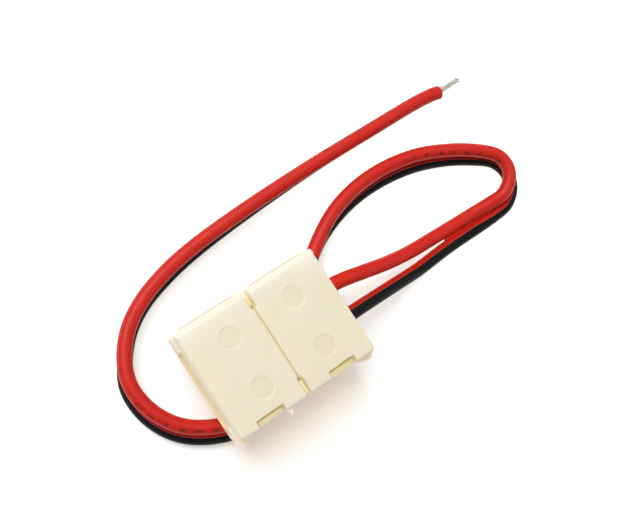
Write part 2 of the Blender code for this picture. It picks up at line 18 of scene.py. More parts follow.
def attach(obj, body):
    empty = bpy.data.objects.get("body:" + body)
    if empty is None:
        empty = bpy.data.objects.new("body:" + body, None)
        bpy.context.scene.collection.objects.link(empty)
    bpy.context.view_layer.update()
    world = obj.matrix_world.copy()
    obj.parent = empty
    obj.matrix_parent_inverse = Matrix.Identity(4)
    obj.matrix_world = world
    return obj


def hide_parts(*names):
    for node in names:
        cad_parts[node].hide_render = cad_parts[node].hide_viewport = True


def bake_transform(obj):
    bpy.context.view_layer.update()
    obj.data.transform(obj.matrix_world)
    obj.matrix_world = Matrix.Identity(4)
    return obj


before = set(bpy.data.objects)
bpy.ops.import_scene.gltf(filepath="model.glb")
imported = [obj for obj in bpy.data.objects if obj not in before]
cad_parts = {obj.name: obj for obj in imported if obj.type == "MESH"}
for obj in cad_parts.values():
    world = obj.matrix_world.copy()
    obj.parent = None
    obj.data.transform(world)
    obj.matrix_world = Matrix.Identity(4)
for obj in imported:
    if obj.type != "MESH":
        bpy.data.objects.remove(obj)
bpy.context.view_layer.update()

log = logging.getLogger("connector")

Point = tuple[float, float, float]
Colour = tuple[float, float, float]
PartTest = Callable[[Vector, Vector], bool]

Piece = bpy.types.Object
Socket = bpy.types.NodeSocket
Material = bpy.types.Material

HOUSING_BODY = "housing"

# Sizes that several sub-assemblies share.
WIRE_Y = 0.00175
WIRE_AXIS_Z = -0.000575
HINGE_Y = 0.00595
TOP_Z = 0.00225
NOTCH_X = 0.0042
NOTCH_LENGTH = 0.00305

# A test's slack, how near two points are one, and how far joined parts and cutters reach.
HAIR = 0.00001
WELD = 0.0000005
ROOT = 0.0002
PAST = 0.001

SHARP_ANGLE = math.radians(50)
SMOOTH_ANGLE = math.radians(40)


class Named(Enum):
    """A choice that pieces, bodies and nodes are named after."""

    @property
    def word(self) -> str:
        """The choice's name, as theirs have it."""
        return self.name.lower()


class Side(Named):
    """The two lids, with the way from the slit to each one's outer end along X."""

    STRIP = -1
    WIRE = 1


class Wire(Named):
    """The two wires, with the side along Y that each one lies on in the housing."""

    RED = 1
    BLACK = -1


class Work(Enum):
    """What a piece does with another one."""

    CUT = "DIFFERENCE"
    WELD = "UNION"


class Part(Enum):
    """The parts of a mesh that can be picked."""

    EDGE = "EDGE"
    FACE = "FACE"


class Axis(Enum):
    """The axis that a rod lies along, with the turn that lays it there."""

    X = (0.0, math.pi / 2, 0.0)
    Z = (0.0, 0.0, 0.0)


class Graph:
    """A material's node tree, with short ways to add what the finishes use."""

    def __init__(self, name: str) -> None:
        """Makes an empty material with its surface shader.

        Args:
            name: The material's name.
        """
        self.material = bpy.data.materials.new(name)
        self.material.use_nodes = True
        self.tree = self.material.node_tree
        self.shader = self.tree.nodes["Principled BSDF"]

    def add(self, kind: str, **settings: object) -> bpy.types.Node:
        """Adds a node.

        Args:
            kind: The node's type name, without the words ShaderNode.
            settings: The node's own settings, by name.

        Returns:
            The new node.
        """
        node = self.tree.nodes.new(f"ShaderNode{kind}")
        for setting, value in settings.items():
            setattr(node, setting, value)
        return node

    def feed(self, node: bpy.types.Node, **sockets: object) -> bpy.types.Node:
        """Links or sets a node's inputs.

        Args:
            node: The node to feed.
            sockets: Each input's name, with _ for a space, or its place as i0, i1 and so
                on, and the socket that drives it or its value.

        Returns:
            The same node.
        """
        for name, value in sockets.items():
            key = int(name[1:]) if name[1:].isdigit() else name.replace("_", " ")
            if isinstance(value, Socket):
                self.tree.links.new(value, node.inputs[key])
            else:
                node.inputs[key].default_value = value
        return node

    def math(self, operation: str, *values: object) -> Socket:
        """Adds a Math node.

        Args:
            operation: What it works out.
            values: Its inputs, as sockets or numbers.

        Returns:
            Its result.
        """
        node = self.add("Math", operation=operation)
        self.feed(node, **{f"i{i}": value for i, value in enumerate(values)})
        return node.outputs[0]

    def scaled(self, value: object, share: float) -> Socket:
        """Returns a value times a share."""
        return self.math("MULTIPLY", value, share)

    def varied(self, middle: float, noise: Socket, spread: float) -> Socket:
        """Returns a value that noise moves by half a spread either way."""
        return self.math("MULTIPLY_ADD", noise, spread, middle - spread / 2)

    def distance(self, value: object, middle: object) -> Socket:
        """Returns how far a value lies from a middle one, either way."""
        return self.math("ABSOLUTE", self.math("SUBTRACT", value, middle))

    def ramp(self, value: object, low: float, high: float) -> Socket:
        """Turns a value into a smooth step.

        Args:
            value: What is measured.
            low: Where the step is still 0.
            high: Where it has come to 1. A high below low turns the step round.

        Returns:
            The step, from 0 to 1.
        """
        node = self.add("MapRange", interpolation_type="SMOOTHSTEP")
        self.feed(node, Value=value, From_Min=low, From_Max=high)
        return node.outputs[0]

    def blend(self, share: object, first: object, second: object) -> Socket:
        """Mixes two colours.

        Args:
            share: How much of the second one shows.
            first: A colour or a socket.
            second: A colour or a socket.

        Returns:
            The mixed colour.
        """
        node = self.add("Mix", data_type="RGBA")
        ends = [(*end, 1.0) if isinstance(end, tuple) else end for end in (first, second)]
        self.feed(node, i0=share, i6=ends[0], i7=ends[1])
        return node.outputs[2]

    def place(self, stretch: Point = (1.0, 1.0, 1.0)) -> Socket:
        """Reads the place on the object, in metres.

        Args:
            stretch: How much each axis is scaled.

        Returns:
            The scaled place.
        """
        mapping = self.add("Mapping")
        self.feed(mapping, Vector=self.add("TexCoord").outputs["Object"], Scale=stretch)
        return mapping.outputs[0]

    def lay(self) -> tuple[Socket, Socket]:
        """Reads the place on a tube: the share of the way round, and metres along it.

        Returns:
            The share and the metres.
        """
        split = self.add("SeparateXYZ")
        self.feed(split, i0=self.add("UVMap", uv_map="Lay").outputs[0])
        return split.outputs[0], split.outputs[1]

    def noise(self, at: object, scale: float, detail: float = 2.0) -> Socket:
        """Adds a noise pattern.

        Args:
            at: The place that it is read at.
            scale: Waves to the metre.
            detail: How many finer layers it has.

        Returns:
            The noise, from 0 to 1.
        """
        node = self.add("TexNoise")
        self.feed(node, Vector=at, Scale=scale, Detail=detail)
        return node.outputs["Fac"]

    def bump(self, *layers: tuple[object, float]) -> None:
        """Gives the shader a relief.

        Args:
            layers: Height sockets, each with its depth in metres, from coarse to fine.
        """
        normal = None
        for height, depth in layers:
            node = self.add("Bump")
            self.feed(node, Height=height, Distance=depth, Strength=1.0)
            if normal:
                self.feed(node, Normal=normal)
            normal = node.outputs[0]
        self.feed(self.shader, Normal=normal)


@dataclass(frozen=True)
class MouldedPlastic:
    """Cream polypropylene, a little translucent, with a fine eroded grain.

    Parts of it carry a painted glow, an emission that stands for the light coming through the
    plastic and makes narrow gaps look yellow instead of dark. Its lower and recessed parts are
    painted with shade, and its hinge side is painted lighter.
    """

    name: str
    painted_glow_colour: Colour
    painted_edge_glow_colour: Colour
    painted_glow_heights: tuple[float, float]
    recess_shade_share: float
    recess_shade_heights: tuple[float, float]
    painted_slit_glow_colour: Colour = (0.190, 0.160, 0.097)
    slit_x: float = -0.00005
    slit_half_width: float = 0.00034
    colour: Colour = (0.802, 0.762, 0.612)
    shade_and_cloud_colour: Colour = (0.740, 0.640, 0.390)
    recess_shade_colour: Colour = (0.640, 0.550, 0.330)
    hinge_light_colour: Colour = (0.845, 0.820, 0.720)
    low_shade_heights: tuple[float, float] = (0.0006, -0.0010)
    low_shade_share: float = 0.75
    hinge_light_places: tuple[float, float] = (0.0022, 0.0062)
    hinge_light_share: float = 0.80
    clouds: tuple[float, float] = (0.35, 0.75)
    cloud_share: float = 0.16
    drift_scale: float = 260.0
    drift_depth: float = 0.00002
    grain_scale: float = 15000.0
    grain_depth: float = 0.0000035
    grain_gloss: float = 0.14
    roughness: float = 0.46
    low_softness: float = 0.00012
    high_softness: float = 0.00020
    end_softness: float = 0.0004
    edge_softness: float = 0.0001
    inner_softness: float = 0.00008
    inner_half_length: float = 0.0076
    inner_middle_y: float = -0.0003
    inner_half_width: float = 0.00545
    end_x: float = -0.0069
    edge_y: float = -0.00582

    def make(self) -> Material:
        """Makes the plastic's material.

        Returns:
            The material.
        """
        graph = Graph(self.name)
        place = graph.place()
        drift = graph.noise(place, self.drift_scale, 3.0)
        fine = graph.noise(place, self.grain_scale, 4.0)
        x, y, z = graph.feed(graph.add("SeparateXYZ"), i0=place).outputs
        # Painted shade: darker and yellower towards the bottom of the tray.
        deep = graph.scaled(graph.ramp(z, *self.low_shade_heights), self.low_shade_share)
        # Painted light: paler towards the hinge side, where the light falls.
        hinge_light = graph.scaled(graph.ramp(y, *self.hinge_light_places), self.hinge_light_share)
        clouded = graph.scaled(graph.ramp(drift, *self.clouds), self.cloud_share)
        # Painted shade in the recesses below the top, inside the outer faces: the hooks and posts
        # under the lids, the marks' floors and the walls of the slit and notches.
        recess_shade = graph.math("MULTIPLY", graph.ramp(z, *self.recess_shade_heights), self.inside(graph, x, y))
        body = graph.blend(deep, self.colour, self.shade_and_cloud_colour)
        body = graph.blend(hinge_light, body, self.hinge_light_colour)
        # Random cloudiness is the plastic's own tone, drawn in the painted shade's colour.
        body = graph.blend(clouded, body, self.shade_and_cloud_colour)
        body = graph.blend(graph.scaled(recess_shade, self.recess_shade_share), body, self.recess_shade_colour)
        graph.feed(
            graph.shader,
            Base_Color=body,
            Roughness=graph.varied(self.roughness, fine, self.grain_gloss),
            IOR=1.49,
            Subsurface_Weight=0.9,
            Subsurface_Radius=(1.0, 0.9, 0.62),
            Subsurface_Scale=0.0008,
            # Painted glow: an emission, masked by place, that stands for light coming through the
            # plastic.
            Emission_Color=self.glow(graph, x, y, z),
            Emission_Strength=1.0,
        )
        graph.bump((drift, self.drift_depth), (fine, self.grain_depth))
        return graph.material

    def glow(self, graph: Graph, *place: Socket) -> Socket:
        """Adds a painted glow, an emission that stands for light coming through the plastic,
        masked to a band of heights.

        Args:
            graph: The material's graph.
            place: The place along X, Y and Z.

        Returns:
            The painted glow's colour.
        """
        x, y, z = place
        low, high = self.painted_glow_heights
        glow_low = graph.ramp(z, low, low + self.low_softness)
        glow_high = graph.ramp(z, high, high - self.high_softness)
        # Another painted glow colour at the strip end and along the latch edge, where the ears
        # stand out.
        strip_end_glow_mask = graph.ramp(x, self.end_x, self.end_x - self.end_softness)
        latch_edge_glow_mask = graph.ramp(y, self.edge_y, self.edge_y - self.edge_softness)
        edge_glow_mask = graph.math("MAXIMUM", strip_end_glow_mask, latch_edge_glow_mask)
        glow = graph.blend(edge_glow_mask, self.painted_glow_colour, self.painted_edge_glow_colour)
        # Its own painted glow colour on the walls at the slit.
        off_slit = graph.distance(x, self.slit_x)
        half_width = self.slit_half_width
        slit = graph.ramp(off_slit, half_width, half_width - self.edge_softness)
        glow = graph.blend(slit, glow, self.painted_slit_glow_colour)
        glow_band = graph.math("MULTIPLY", glow_low, glow_high)
        return graph.blend(glow_band, (0.0, 0.0, 0.0), glow)

    def inside(self, graph: Graph, x: Socket, y: Socket) -> Socket:
        """Says how far inside the housing's outer faces a place lies.

        Args:
            graph: The material's graph.
            x: The place along X.
            y: The place along Y.

        Returns:
            1 inside and 0 at the outer faces, with a soft step.
        """
        soft = self.inner_softness
        half_length, half_width = self.inner_half_length, self.inner_half_width
        along = graph.ramp(graph.distance(x, 0.0), half_length, half_length - soft)
        across = graph.distance(y, self.inner_middle_y)
        return graph.math("MULTIPLY", along, graph.ramp(across, half_width, half_width - soft))


@dataclass(frozen=True)
class WireInsulation:
    """Satin PVC on a wire, with a stripe on the side that faces the other wire."""

    name: str
    colour: Colour
    stripe: Colour | None = None
    stripe_reach: float = 0.112
    torn_stripe_reach: float = 0.168
    tear_end: float = 0.026
    ink: Colour | None = None
    ink_place: float = 0.32
    ink_start: float = 0.0088
    marks_per_metre: float = 640.0
    marks_per_group: int = 15
    printed_share: float = 0.60
    ink_share: float = 0.72
    tick_half_lengths: tuple[float, float] = (0.10, 0.34)
    tick_middles: tuple[float, float] = (0.38, 0.62)
    tick_half_heights: tuple[float, float] = (0.030, 0.050)
    tick_softness: float = 0.06
    wear_scale: float = 1500.0
    wear: tuple[float, float] = (0.22, 0.66)
    stripe_softness: tuple[float, float] = (0.024, 0.004)
    wander_scale: float = 160.0
    wander: float = 0.02
    tear_length: float = 0.006
    seam_highlight_colour: Colour = (0.45, 0.30, 0.28)
    seam_highlight_share: float = 0.18
    seam_place: float = 0.014
    seam_half_width: float = 0.006
    seam_depth: float = 0.00001
    cloud_scale: float = 700.0
    clouds: tuple[float, float] = (0.3, 0.7)
    cloud_share: float = 0.5
    cloud_shade: float = 0.82
    girth: float = 0.0049
    drawn_share: float = 0.05
    drawn_depth: float = 0.000006
    grain_scale: float = 9000.0
    grain_depth: float = 0.000002
    grain_gloss: float = 0.12
    roughness: float = 0.46
    shine: float = 0.28

    def make(self) -> Material:
        """Makes the insulation's material.

        Returns:
            The material.
        """
        graph = Graph(self.name)
        around, along = graph.lay()
        place = graph.place()
        cloud = graph.ramp(graph.noise(place, self.cloud_scale, 3.0), *self.clouds)
        darker = tuple(self.cloud_shade * part for part in self.colour)
        body = graph.blend(graph.scaled(cloud, self.cloud_share), self.colour, darker)
        lay = graph.add("CombineXYZ")
        drawn_along = graph.scaled(along, self.drawn_share)
        graph.feed(lay, i0=graph.scaled(around, self.girth), i1=drawn_along)
        drawn = graph.noise(lay.outputs[0], self.grain_scale, 3.0)
        pores = graph.noise(place, self.grain_scale, 3.0)
        layers = [(drawn, self.drawn_depth), (pores, self.grain_depth)]
        if self.stripe:
            wander = graph.scaled(graph.noise(place, self.wander_scale), self.wander)
            torn = graph.ramp(along, self.tear_end + self.tear_length, self.tear_end)
            wider = graph.scaled(torn, self.torn_stripe_reach - self.stripe_reach)
            edge = graph.math("ADD", graph.distance(around, 0.5), wander)
            edge = graph.math("SUBTRACT", edge, wider)
            out, full = (self.stripe_reach + soft for soft in self.stripe_softness)
            body = graph.blend(graph.ramp(edge, out, full), body, self.stripe)
            # Painted highlight: a pale line just outside the stripe's edge, where the crease
            # catches the light; the crease's groove itself is real relief in the bump.
            seam_place = self.stripe_reach + self.seam_place
            seam = graph.math("COMPARE", edge, seam_place, self.seam_half_width)
            body = graph.blend(graph.scaled(seam, self.seam_highlight_share), body, self.seam_highlight_colour)
            layers.insert(0, (seam, -self.seam_depth))
        if self.ink:
            body = graph.blend(self.print_marks(graph, around, along), body, self.ink)
        rough = graph.varied(self.roughness, pores, self.grain_gloss)
        graph.feed(graph.shader, Base_Color=body, Roughness=rough, Specular_IOR_Level=self.shine)
        graph.feed(graph.shader, Subsurface_Weight=0.06, Subsurface_Scale=0.0004)
        graph.bump(*layers)
        return graph.material

    def print_marks(self, graph: Graph, around: Socket, along: Socket) -> Socket:
        """Adds worn ink ticks of uneven lengths, in groups along the wire.

        Args:
            graph: The material's graph.
            around: The share of the way round.
            along: The metres along the wire.

        Returns:
            How much ink shows.
        """
        place = graph.scaled(along, self.marks_per_metre)
        chance = graph.add("TexWhiteNoise", noise_dimensions="1D")
        graph.feed(chance, W=graph.math("FLOOR", place))
        chances = graph.feed(graph.add("SeparateXYZ"), i0=chance.outputs["Color"]).outputs
        ranges = (self.tick_half_lengths, self.tick_middles, self.tick_half_heights)
        length, middle, tall = (
            graph.math("MULTIPLY_ADD", chances[i], most - least, least)
            for i, (least, most) in enumerate(ranges)
        )
        above = graph.math("SUBTRACT", graph.distance(around, self.ink_place), tall)
        band = graph.ramp(above, 0.014, -0.008)
        from_middle = graph.distance(graph.math("FRACT", place), middle)
        beyond = graph.math("SUBTRACT", from_middle, length)
        mark = graph.ramp(beyond, self.tick_softness, -self.tick_softness)
        run = graph.math("SUBTRACT", along, self.ink_start)
        groups = graph.scaled(run, self.marks_per_metre / self.marks_per_group)
        printed = graph.math("LESS_THAN", graph.math("FRACT", groups), self.printed_share)
        wear = graph.ramp(graph.noise(graph.place(), self.wear_scale, 3.0), *self.wear)
        ink = graph.math("MULTIPLY", band, mark)
        ink = graph.math("MULTIPLY", ink, graph.math("MULTIPLY", printed, wear))
        return graph.scaled(ink, self.ink_share)


@dataclass(frozen=True)
class TinnedMetal:
    """Tin-plated metal, brushed along X or drawn into strands."""

    name: str
    colour: Colour
    roughness: float
    brush: Point = (1500.0, 26000.0, 26000.0)
    grain_gloss: float = 0.22
    grain_depth: float = 0.0000012
    tarnish_scale: float = 900.0
    tarnish: tuple[float, float] = (0.40, 0.75)
    tarnish_share: float = 0.55
    tarnish_shade: float = 0.72

    def make(self) -> Material:
        """Makes the metal's material.

        Returns:
            The material.
        """
        graph = Graph(self.name)
        grain = graph.noise(graph.place(self.brush), 1.0, 4.0)
        spots = graph.noise(graph.place(), self.tarnish_scale, 3.0)
        tarnish = graph.scaled(graph.ramp(spots, *self.tarnish), self.tarnish_share)
        dulled = tuple(self.tarnish_shade * part for part in self.colour)
        body = graph.blend(tarnish, self.colour, dulled)
        rough = graph.varied(self.roughness, grain, self.grain_gloss)
        graph.feed(graph.shader, Base_Color=body, Roughness=rough, Metallic=1.0)
        graph.bump((grain, self.grain_depth))
        return graph.material


def choose(piece: Piece) -> None:
    """Selects one piece alone and makes it the active one.

    Args:
        piece: The piece to work on.
    """
    bpy.ops.object.select_all(action="DESELECT")
    piece.select_set(True)
    bpy.context.view_layer.objects.active = piece


def primitive(
    name: str, add: Callable[..., object], scale: Sequence[float] = (1, 1, 1), **settings: object
) -> Piece:
    """Adds one of Blender's primitives, with its place, turn and scale moved into its mesh.

    Args:
        name: The piece's name.
        add: The operator that adds it.
        scale: How much each of its own axes is scaled.
        settings: The operator's settings, by name.

    Returns:
        The piece, at the origin.
    """
    bpy.ops.object.select_all(action="DESELECT")
    add(**settings)
    piece = bpy.context.active_object
    piece.name = piece.data.name = name
    piece.scale = scale
    choose(piece)
    bpy.ops.object.transform_apply(location=True, rotation=True, scale=True)
    return piece


def block(name: str, low: Point, high: Point) -> Piece:
    """Adds a block between two corners.

    Args:
        name: The piece's name.
        low: Its lowest corner.
        high: Its highest corner.

    Returns:
        The block.
    """
    middle = [(a + b) / 2 for a, b in zip(low, high)]
    sizes = [b - a for a, b in zip(low, high)]
    return primitive(name, bpy.ops.mesh.primitive_cube_add, sizes, size=1.0, location=middle)


def rod(
    name: str,
    middle: Point,
    radius: float,
    length: float,
    axis: Axis,
    sides: int,
    flare: float = 0.0,
) -> Piece:
    """Adds a round rod.

    Args:
        name: The piece's name.
        middle: Its middle.
        radius: Its radius.
        length: Its length.
        axis: The axis that it lies along.
        sides: How many sides stand for the round.
        flare: How much wider its far end is than its middle.

    Returns:
        The rod.
    """
    return primitive(
        name,
        bpy.ops.mesh.primitive_cone_add,
        vertices=sides,
        radius1=radius - flare,
        radius2=radius + flare,
        depth=length,
        location=middle,
        rotation=axis.value,
    )


def pick(piece: Piece, part: Part, wanted: PartTest) -> None:
    """Opens a piece for editing and selects the edges or faces that a test picks.

    Args:
        piece: The piece.
        part: Whether edges or faces are picked.
        wanted: Says it from an edge's two ends, or from a face's middle and its normal.
    """
    choose(piece)
    bpy.ops.object.mode_set(mode="EDIT")
    bpy.ops.mesh.select_mode(type=part.value)
    bpy.ops.mesh.select_all(action="DESELECT")
    mesh = bmesh.from_edit_mesh(piece.data)
    if part is Part.EDGE:
        for edge in mesh.edges:
            edge.select_set(wanted(edge.verts[0].co, edge.verts[1].co))
    else:
        for face in mesh.faces:
            face.select_set(wanted(face.calc_center_median(), face.normal))
    bmesh.update_edit_mesh(piece.data)


def round_edges(piece: Piece, wanted: PartTest, radius: float, segments: int) -> None:
    """Rounds a piece's edges that a test picks.

    Args:
        piece: The piece.
        wanted: Says from an edge's two ends whether it is rounded.
        radius: The rounding's radius.
        segments: How many faces make the rounding.
    """
    pick(piece, Part.EDGE, wanted)
    bpy.ops.mesh.bevel(offset=radius, segments=segments, profile=0.5, affect="EDGES")
    bpy.ops.object.mode_set(mode="OBJECT")


def farther(a: Vector, b: Vector, middle: Vector) -> float:
    """Returns how far the farther one of two points lies from a middle."""
    return max((a - middle).length, (b - middle).length)


def upright_at(x: float, y: float) -> PartTest:
    """Returns a test for the upright edge at a corner, given by its places along X and Y."""
    corner = Vector((x, y))
    return lambda a, b: farther(a.xy, b.xy, corner) < HAIR


def apply_modifier(piece: Piece, kind: str, **settings: object) -> None:
    """Adds a modifier and applies it.

    Args:
        piece: The piece.
        kind: The modifier's type.
        settings: Its settings, by name.
    """
    choose(piece)
    modifier = piece.modifiers.new("work", kind)
    for name, value in settings.items():
        setattr(modifier, name, value)
    bpy.ops.object.modifier_apply(modifier=modifier.name)


def combine(piece: Piece, work: Work, *others: Piece) -> None:
    """Cuts other pieces from a piece, or welds them to it, and clears them away.

    Args:
        piece: The piece that stays.
        work: Whether the others are cut from it or welded to it.
        others: The pieces that are used up.
    """
    for other in others:
        apply_modifier(piece, "BOOLEAN", operation=work.value, object=other, solver="EXACT")
        bpy.data.objects.remove(other, do_unlink=True)


def close_cracks(piece: Piece) -> None:
    """Welds points that lie on each other and fills the hairline cracks that cuts leave.

    Args:
        piece: The piece.
    """
    choose(piece)
    bpy.ops.object.mode_set(mode="EDIT")
    bpy.ops.mesh.select_mode(type="VERT")
    bpy.ops.mesh.select_all(action="SELECT")
    bpy.ops.mesh.remove_doubles(threshold=WELD)
    bpy.ops.mesh.dissolve_degenerate(threshold=WELD)
    bpy.ops.mesh.select_all(action="DESELECT")
    bpy.ops.mesh.select_non_manifold(
        use_wire=False, use_multi_face=False, use_non_contiguous=False, use_verts=False
    )
    bpy.ops.mesh.fill_holes(sides=0)
    bpy.ops.mesh.select_all(action="DESELECT")
    bpy.ops.object.mode_set(mode="OBJECT")


def break_edges(piece: Piece, width: float) -> None:
    """Breaks all of a piece's sharp edges to a width."""
    limits = {"limit_method": "ANGLE", "angle_limit": SHARP_ANGLE}
    apply_modifier(piece, "BEVEL", width=width, segments=2, **limits)


def shade(piece: Piece, angle: float = SMOOTH_ANGLE, even: bool = False) -> None:
    """Shades a piece as smooth where its faces meet below an angle.

    Args:
        piece: The piece.
        angle: The angle.
        even: Whether large faces are also kept flat up to their rims.
    """
    choose(piece)
    bpy.ops.object.shade_smooth_by_angle(angle=angle)
    if even:
        apply_modifier(piece, "WEIGHTED_NORMAL", weight=100, keep_sharp=True)


def hand_in(
    piece: Piece,
    material: Material,
    node: str | None = None,
    body: str | None = HOUSING_BODY,
) -> None:
    """Dresses a finished piece, ties it to the CAD and logs its name and size.

    Args:
        piece: The piece.
        material: Its material.
        node: The CAD node that it stands for, if it does for one.
        body: The CAD body that it rides on, or None for a piece that lies between two and is left
            unattached.
    """
    piece.data.materials.clear()
    piece.data.materials.append(material)
    if body:
        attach(piece, body)
    if node:
        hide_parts(node)
    sizes = " x ".join(f"{1000 * size:.2f}" for size in piece.dimensions)
    log.info("%s: %s mm, %d faces", piece.name, sizes, len(piece.data.polygons))


@dataclass
class Tray:
    """The housing's lower half: strip bay, partition, wire bay, latch hooks."""

    strip_end_x: float = -0.0080
    wire_end_x: float = 0.0080
    latch_wall_y: float = -0.0058
    bottom_z: float = -0.00225
    wall_top_z: float = 0.00055
    floor_z: float = -0.00155
    corner_radii: tuple[float, float, float] = (0.0006, 0.0008, 0.0003)
    rim_radius: float = 0.00015
    channel_radius: float = 0.000975
    channel_middle_x: float = 0.0067
    bay_half_width: float = 0.00415
    partition_x: float = 0.0006
    slot_half_width: float = 0.0008
    crimp_bay_end_x: float = 0.0044
    pocket_y: tuple[float, float] = (0.003525, 0.00485)
    mouth_length: float = 0.0007
    mouth_depth: float = 0.0003
    mouth_chamfer: float = 0.00029
    post_drop: float = 0.0004
    post_half_width: float = 0.00012
    mark_x: float = 0.004
    mark_radius: float = 0.00115
    mark_depth: float = 0.00012
    ear_end_x: float = 0.00795
    ear_reach: float = 0.0007
    ear_root: float = 0.0008
    ear_length: float = 0.0011
    ear_radius: float = 0.0004
    ear_rounding: float = 0.00012
    hook_inner_y: float = -0.0052
    hook_height: float = 0.0013
    hook_slope: float = 0.00028
    hook_rounding: float = 0.0001
    hook_air: float = 0.0002
    edge: float = 0.00004

    def build(self) -> Piece:
        """Builds the tray as one closed mesh.

        Returns:
            The tray.
        """
        tray = self.build_body()
        combine(tray, Work.WELD, *self.build_ears(), *self.build_hooks(), *self.build_posts())
        combine(tray, Work.CUT, *self.build_bays(), *self.build_channels())
        close_cracks(tray)
        break_edges(tray, self.edge)
        shade(tray, even=True)
        close_cracks(tray)
        return tray

    def build_body(self) -> Piece:
        """Builds the outer block with its rounded corners and lower rim.

        Returns:
            The block.
        """
        low = (self.strip_end_x, self.latch_wall_y, self.bottom_z)
        body = block("tray", low, (self.wire_end_x, HINGE_Y, self.wall_top_z))
        latch_strip, latch_wire, hinge = self.corner_radii
        corners = (
            (self.strip_end_x, self.latch_wall_y, latch_strip),
            (self.wire_end_x, self.latch_wall_y, latch_wire),
            (self.wire_end_x, HINGE_Y, hinge),
            (self.strip_end_x, HINGE_Y, hinge),
        )
        for x, y, radius in corners:
            round_edges(body, upright_at(x, y), radius, 6)
        low_z = self.bottom_z + HAIR
        round_edges(body, lambda a, b: max(a.z, b.z) < low_z, self.rim_radius, 4)
        return body

    def build_ears(self) -> list[Piece]:
        """Builds the ears that stick out past the lids at the latch side's corners.

        Returns:
            The ears.
        """
        ears = []
        near = self.latch_wall_y - self.ear_reach
        foot = self.bottom_z + self.rim_radius

        def on_rim(a: Vector, b: Vector) -> bool:
            """Says whether an edge lies on an ear's upper or lower rim, outside the wall."""
            level = min(a.z, b.z) > self.wall_top_z - HAIR or max(a.z, b.z) < foot + HAIR
            return level and min(a.y, b.y) < self.latch_wall_y - self.rim_radius / 2

        for side in Side:
            edges = sorted(
                (side.value * self.ear_end_x, side.value * (self.ear_end_x - self.ear_length))
            )
            root = (edges[1], self.latch_wall_y + self.ear_root, self.wall_top_z)
            ear = block(f"ear_{side.word}", (edges[0], near, foot), root)
            for x in edges:
                round_edges(ear, upright_at(x, near), self.ear_radius, 8)
            round_edges(ear, on_rim, self.ear_rounding, 3)
            ears.append(ear)
        return ears

    def build_hooks(self) -> list[Piece]:
        """Builds the two latch hooks, each with its nose and its lead-in slope.

        Returns:
            The hooks.
        """
        hooks = []
        low_z = self.wall_top_z - ROOT
        crown = self.wall_top_z + self.hook_height
        half = NOTCH_LENGTH / 2 - self.hook_air

        def on_slope(a: Vector, b: Vector) -> bool:
            """Says whether an edge is the crown's inner one."""
            return min(a.z, b.z) > crown - HAIR and min(a.y, b.y) > self.hook_inner_y - HAIR

        def on_nose(a: Vector, b: Vector) -> bool:
            """Says whether an edge is the crown's outer one."""
            return min(a.z, b.z) > crown - HAIR and max(a.y, b.y) < self.latch_wall_y + HAIR

        for side in Side:
            middle = side.value * NOTCH_X
            low = (middle - half, self.latch_wall_y, low_z)
            hook = block(f"hook_{side.word}", low, (middle + half, self.hook_inner_y, crown))
            round_edges(hook, on_slope, self.hook_slope, 4)
            round_edges(hook, on_nose, self.hook_rounding, 3)
            hooks.append(hook)
        return hooks

    def build_posts(self) -> list[Piece]:
        """Builds the thin posts at the slit's two ends and the low fin between them.

        Returns:
            The posts and the fin.
        """
        low_z = self.wall_top_z - ROOT
        top = TOP_Z - self.post_drop
        half = self.post_half_width
        spans = {
            "post_latch": ((-half, -0.00565), (half, -0.00430)),
            "post_hinge": ((-half, 0.00430), (half, 0.0052)),
            "fin": ((-0.00011, -0.00360), (0.00001, 0.00360)),
        }
        return [block(name, (*low, low_z), (*high, top)) for name, (low, high) in spans.items()]

    def build_bays(self) -> list[Piece]:
        """Builds the cutters for the strip bay, the pockets and the underside's marks.

        Returns:
            The cutters.
        """
        above = self.wall_top_z + PAST
        out_x = self.strip_end_x - PAST
        inner_x = self.strip_end_x + self.mouth_length
        wide = self.bay_half_width
        bay = block("bay", (out_x, -wide, self.floor_z), (-self.partition_x, wide, above))
        mouth_low = (out_x, -wide, self.floor_z - self.mouth_depth)
        mouth = block("mouth", mouth_low, (inner_x, wide, self.floor_z + 0.0001))

        def inner_low(a: Vector, b: Vector) -> bool:
            """Says whether an edge is the mouth's inner one, below the floor."""
            return min(a.x, b.x) > inner_x - HAIR and max(a.z, b.z) < self.floor_z

        round_edges(mouth, inner_low, self.mouth_chamfer, 1)
        tools = [bay, mouth]
        for hand in (-1, 1):
            ends = sorted(hand * y for y in self.pocket_y)
            low = (self.partition_x + PAST, ends[0], self.floor_z)
            tools.append(block(f"pocket_{hand}", low, (self.wire_end_x - PAST, ends[1], above)))
            mark = (hand * self.mark_x, 0.0, self.bottom_z)
            deep = 2 * self.mark_depth
            tools.append(rod(f"mark_{hand}", mark, self.mark_radius, deep, Axis.Z, 64))
        return tools

    def build_channels(self) -> list[Piece]:
        """Builds the cutters for the crimp bays, the contact slots and the wire channels.

        Returns:
            The cutters.
        """
        above = self.wall_top_z + PAST
        far_x = self.wire_end_x + PAST
        slot_x = self.partition_x + ROOT
        tools = []
        for hand in (-1, 1):
            y = hand * WIRE_Y
            half = self.channel_radius
            crimp_low = (self.partition_x, y - half, self.floor_z)
            tools.append(block("crimp", crimp_low, (self.crimp_bay_end_x, y + half, above)))
            slot_low = (-slot_x, y - self.slot_half_width, self.floor_z)
            slot_high = (slot_x, y + self.slot_half_width, self.wall_top_z + HAIR)
            tools.append(block("contact_slot", slot_low, slot_high))
            channel_low = (self.crimp_bay_end_x - ROOT, y - half, WIRE_AXIS_Z)
            channel = block("channel", channel_low, (far_x, y + half, above))
            middle = (self.channel_middle_x, y, WIRE_AXIS_Z)
            length = 2 * (far_x - self.channel_middle_x)
            combine(channel, Work.WELD, rod("bed", middle, half, length, Axis.X, 40))
            tools.append(channel)
        return tools


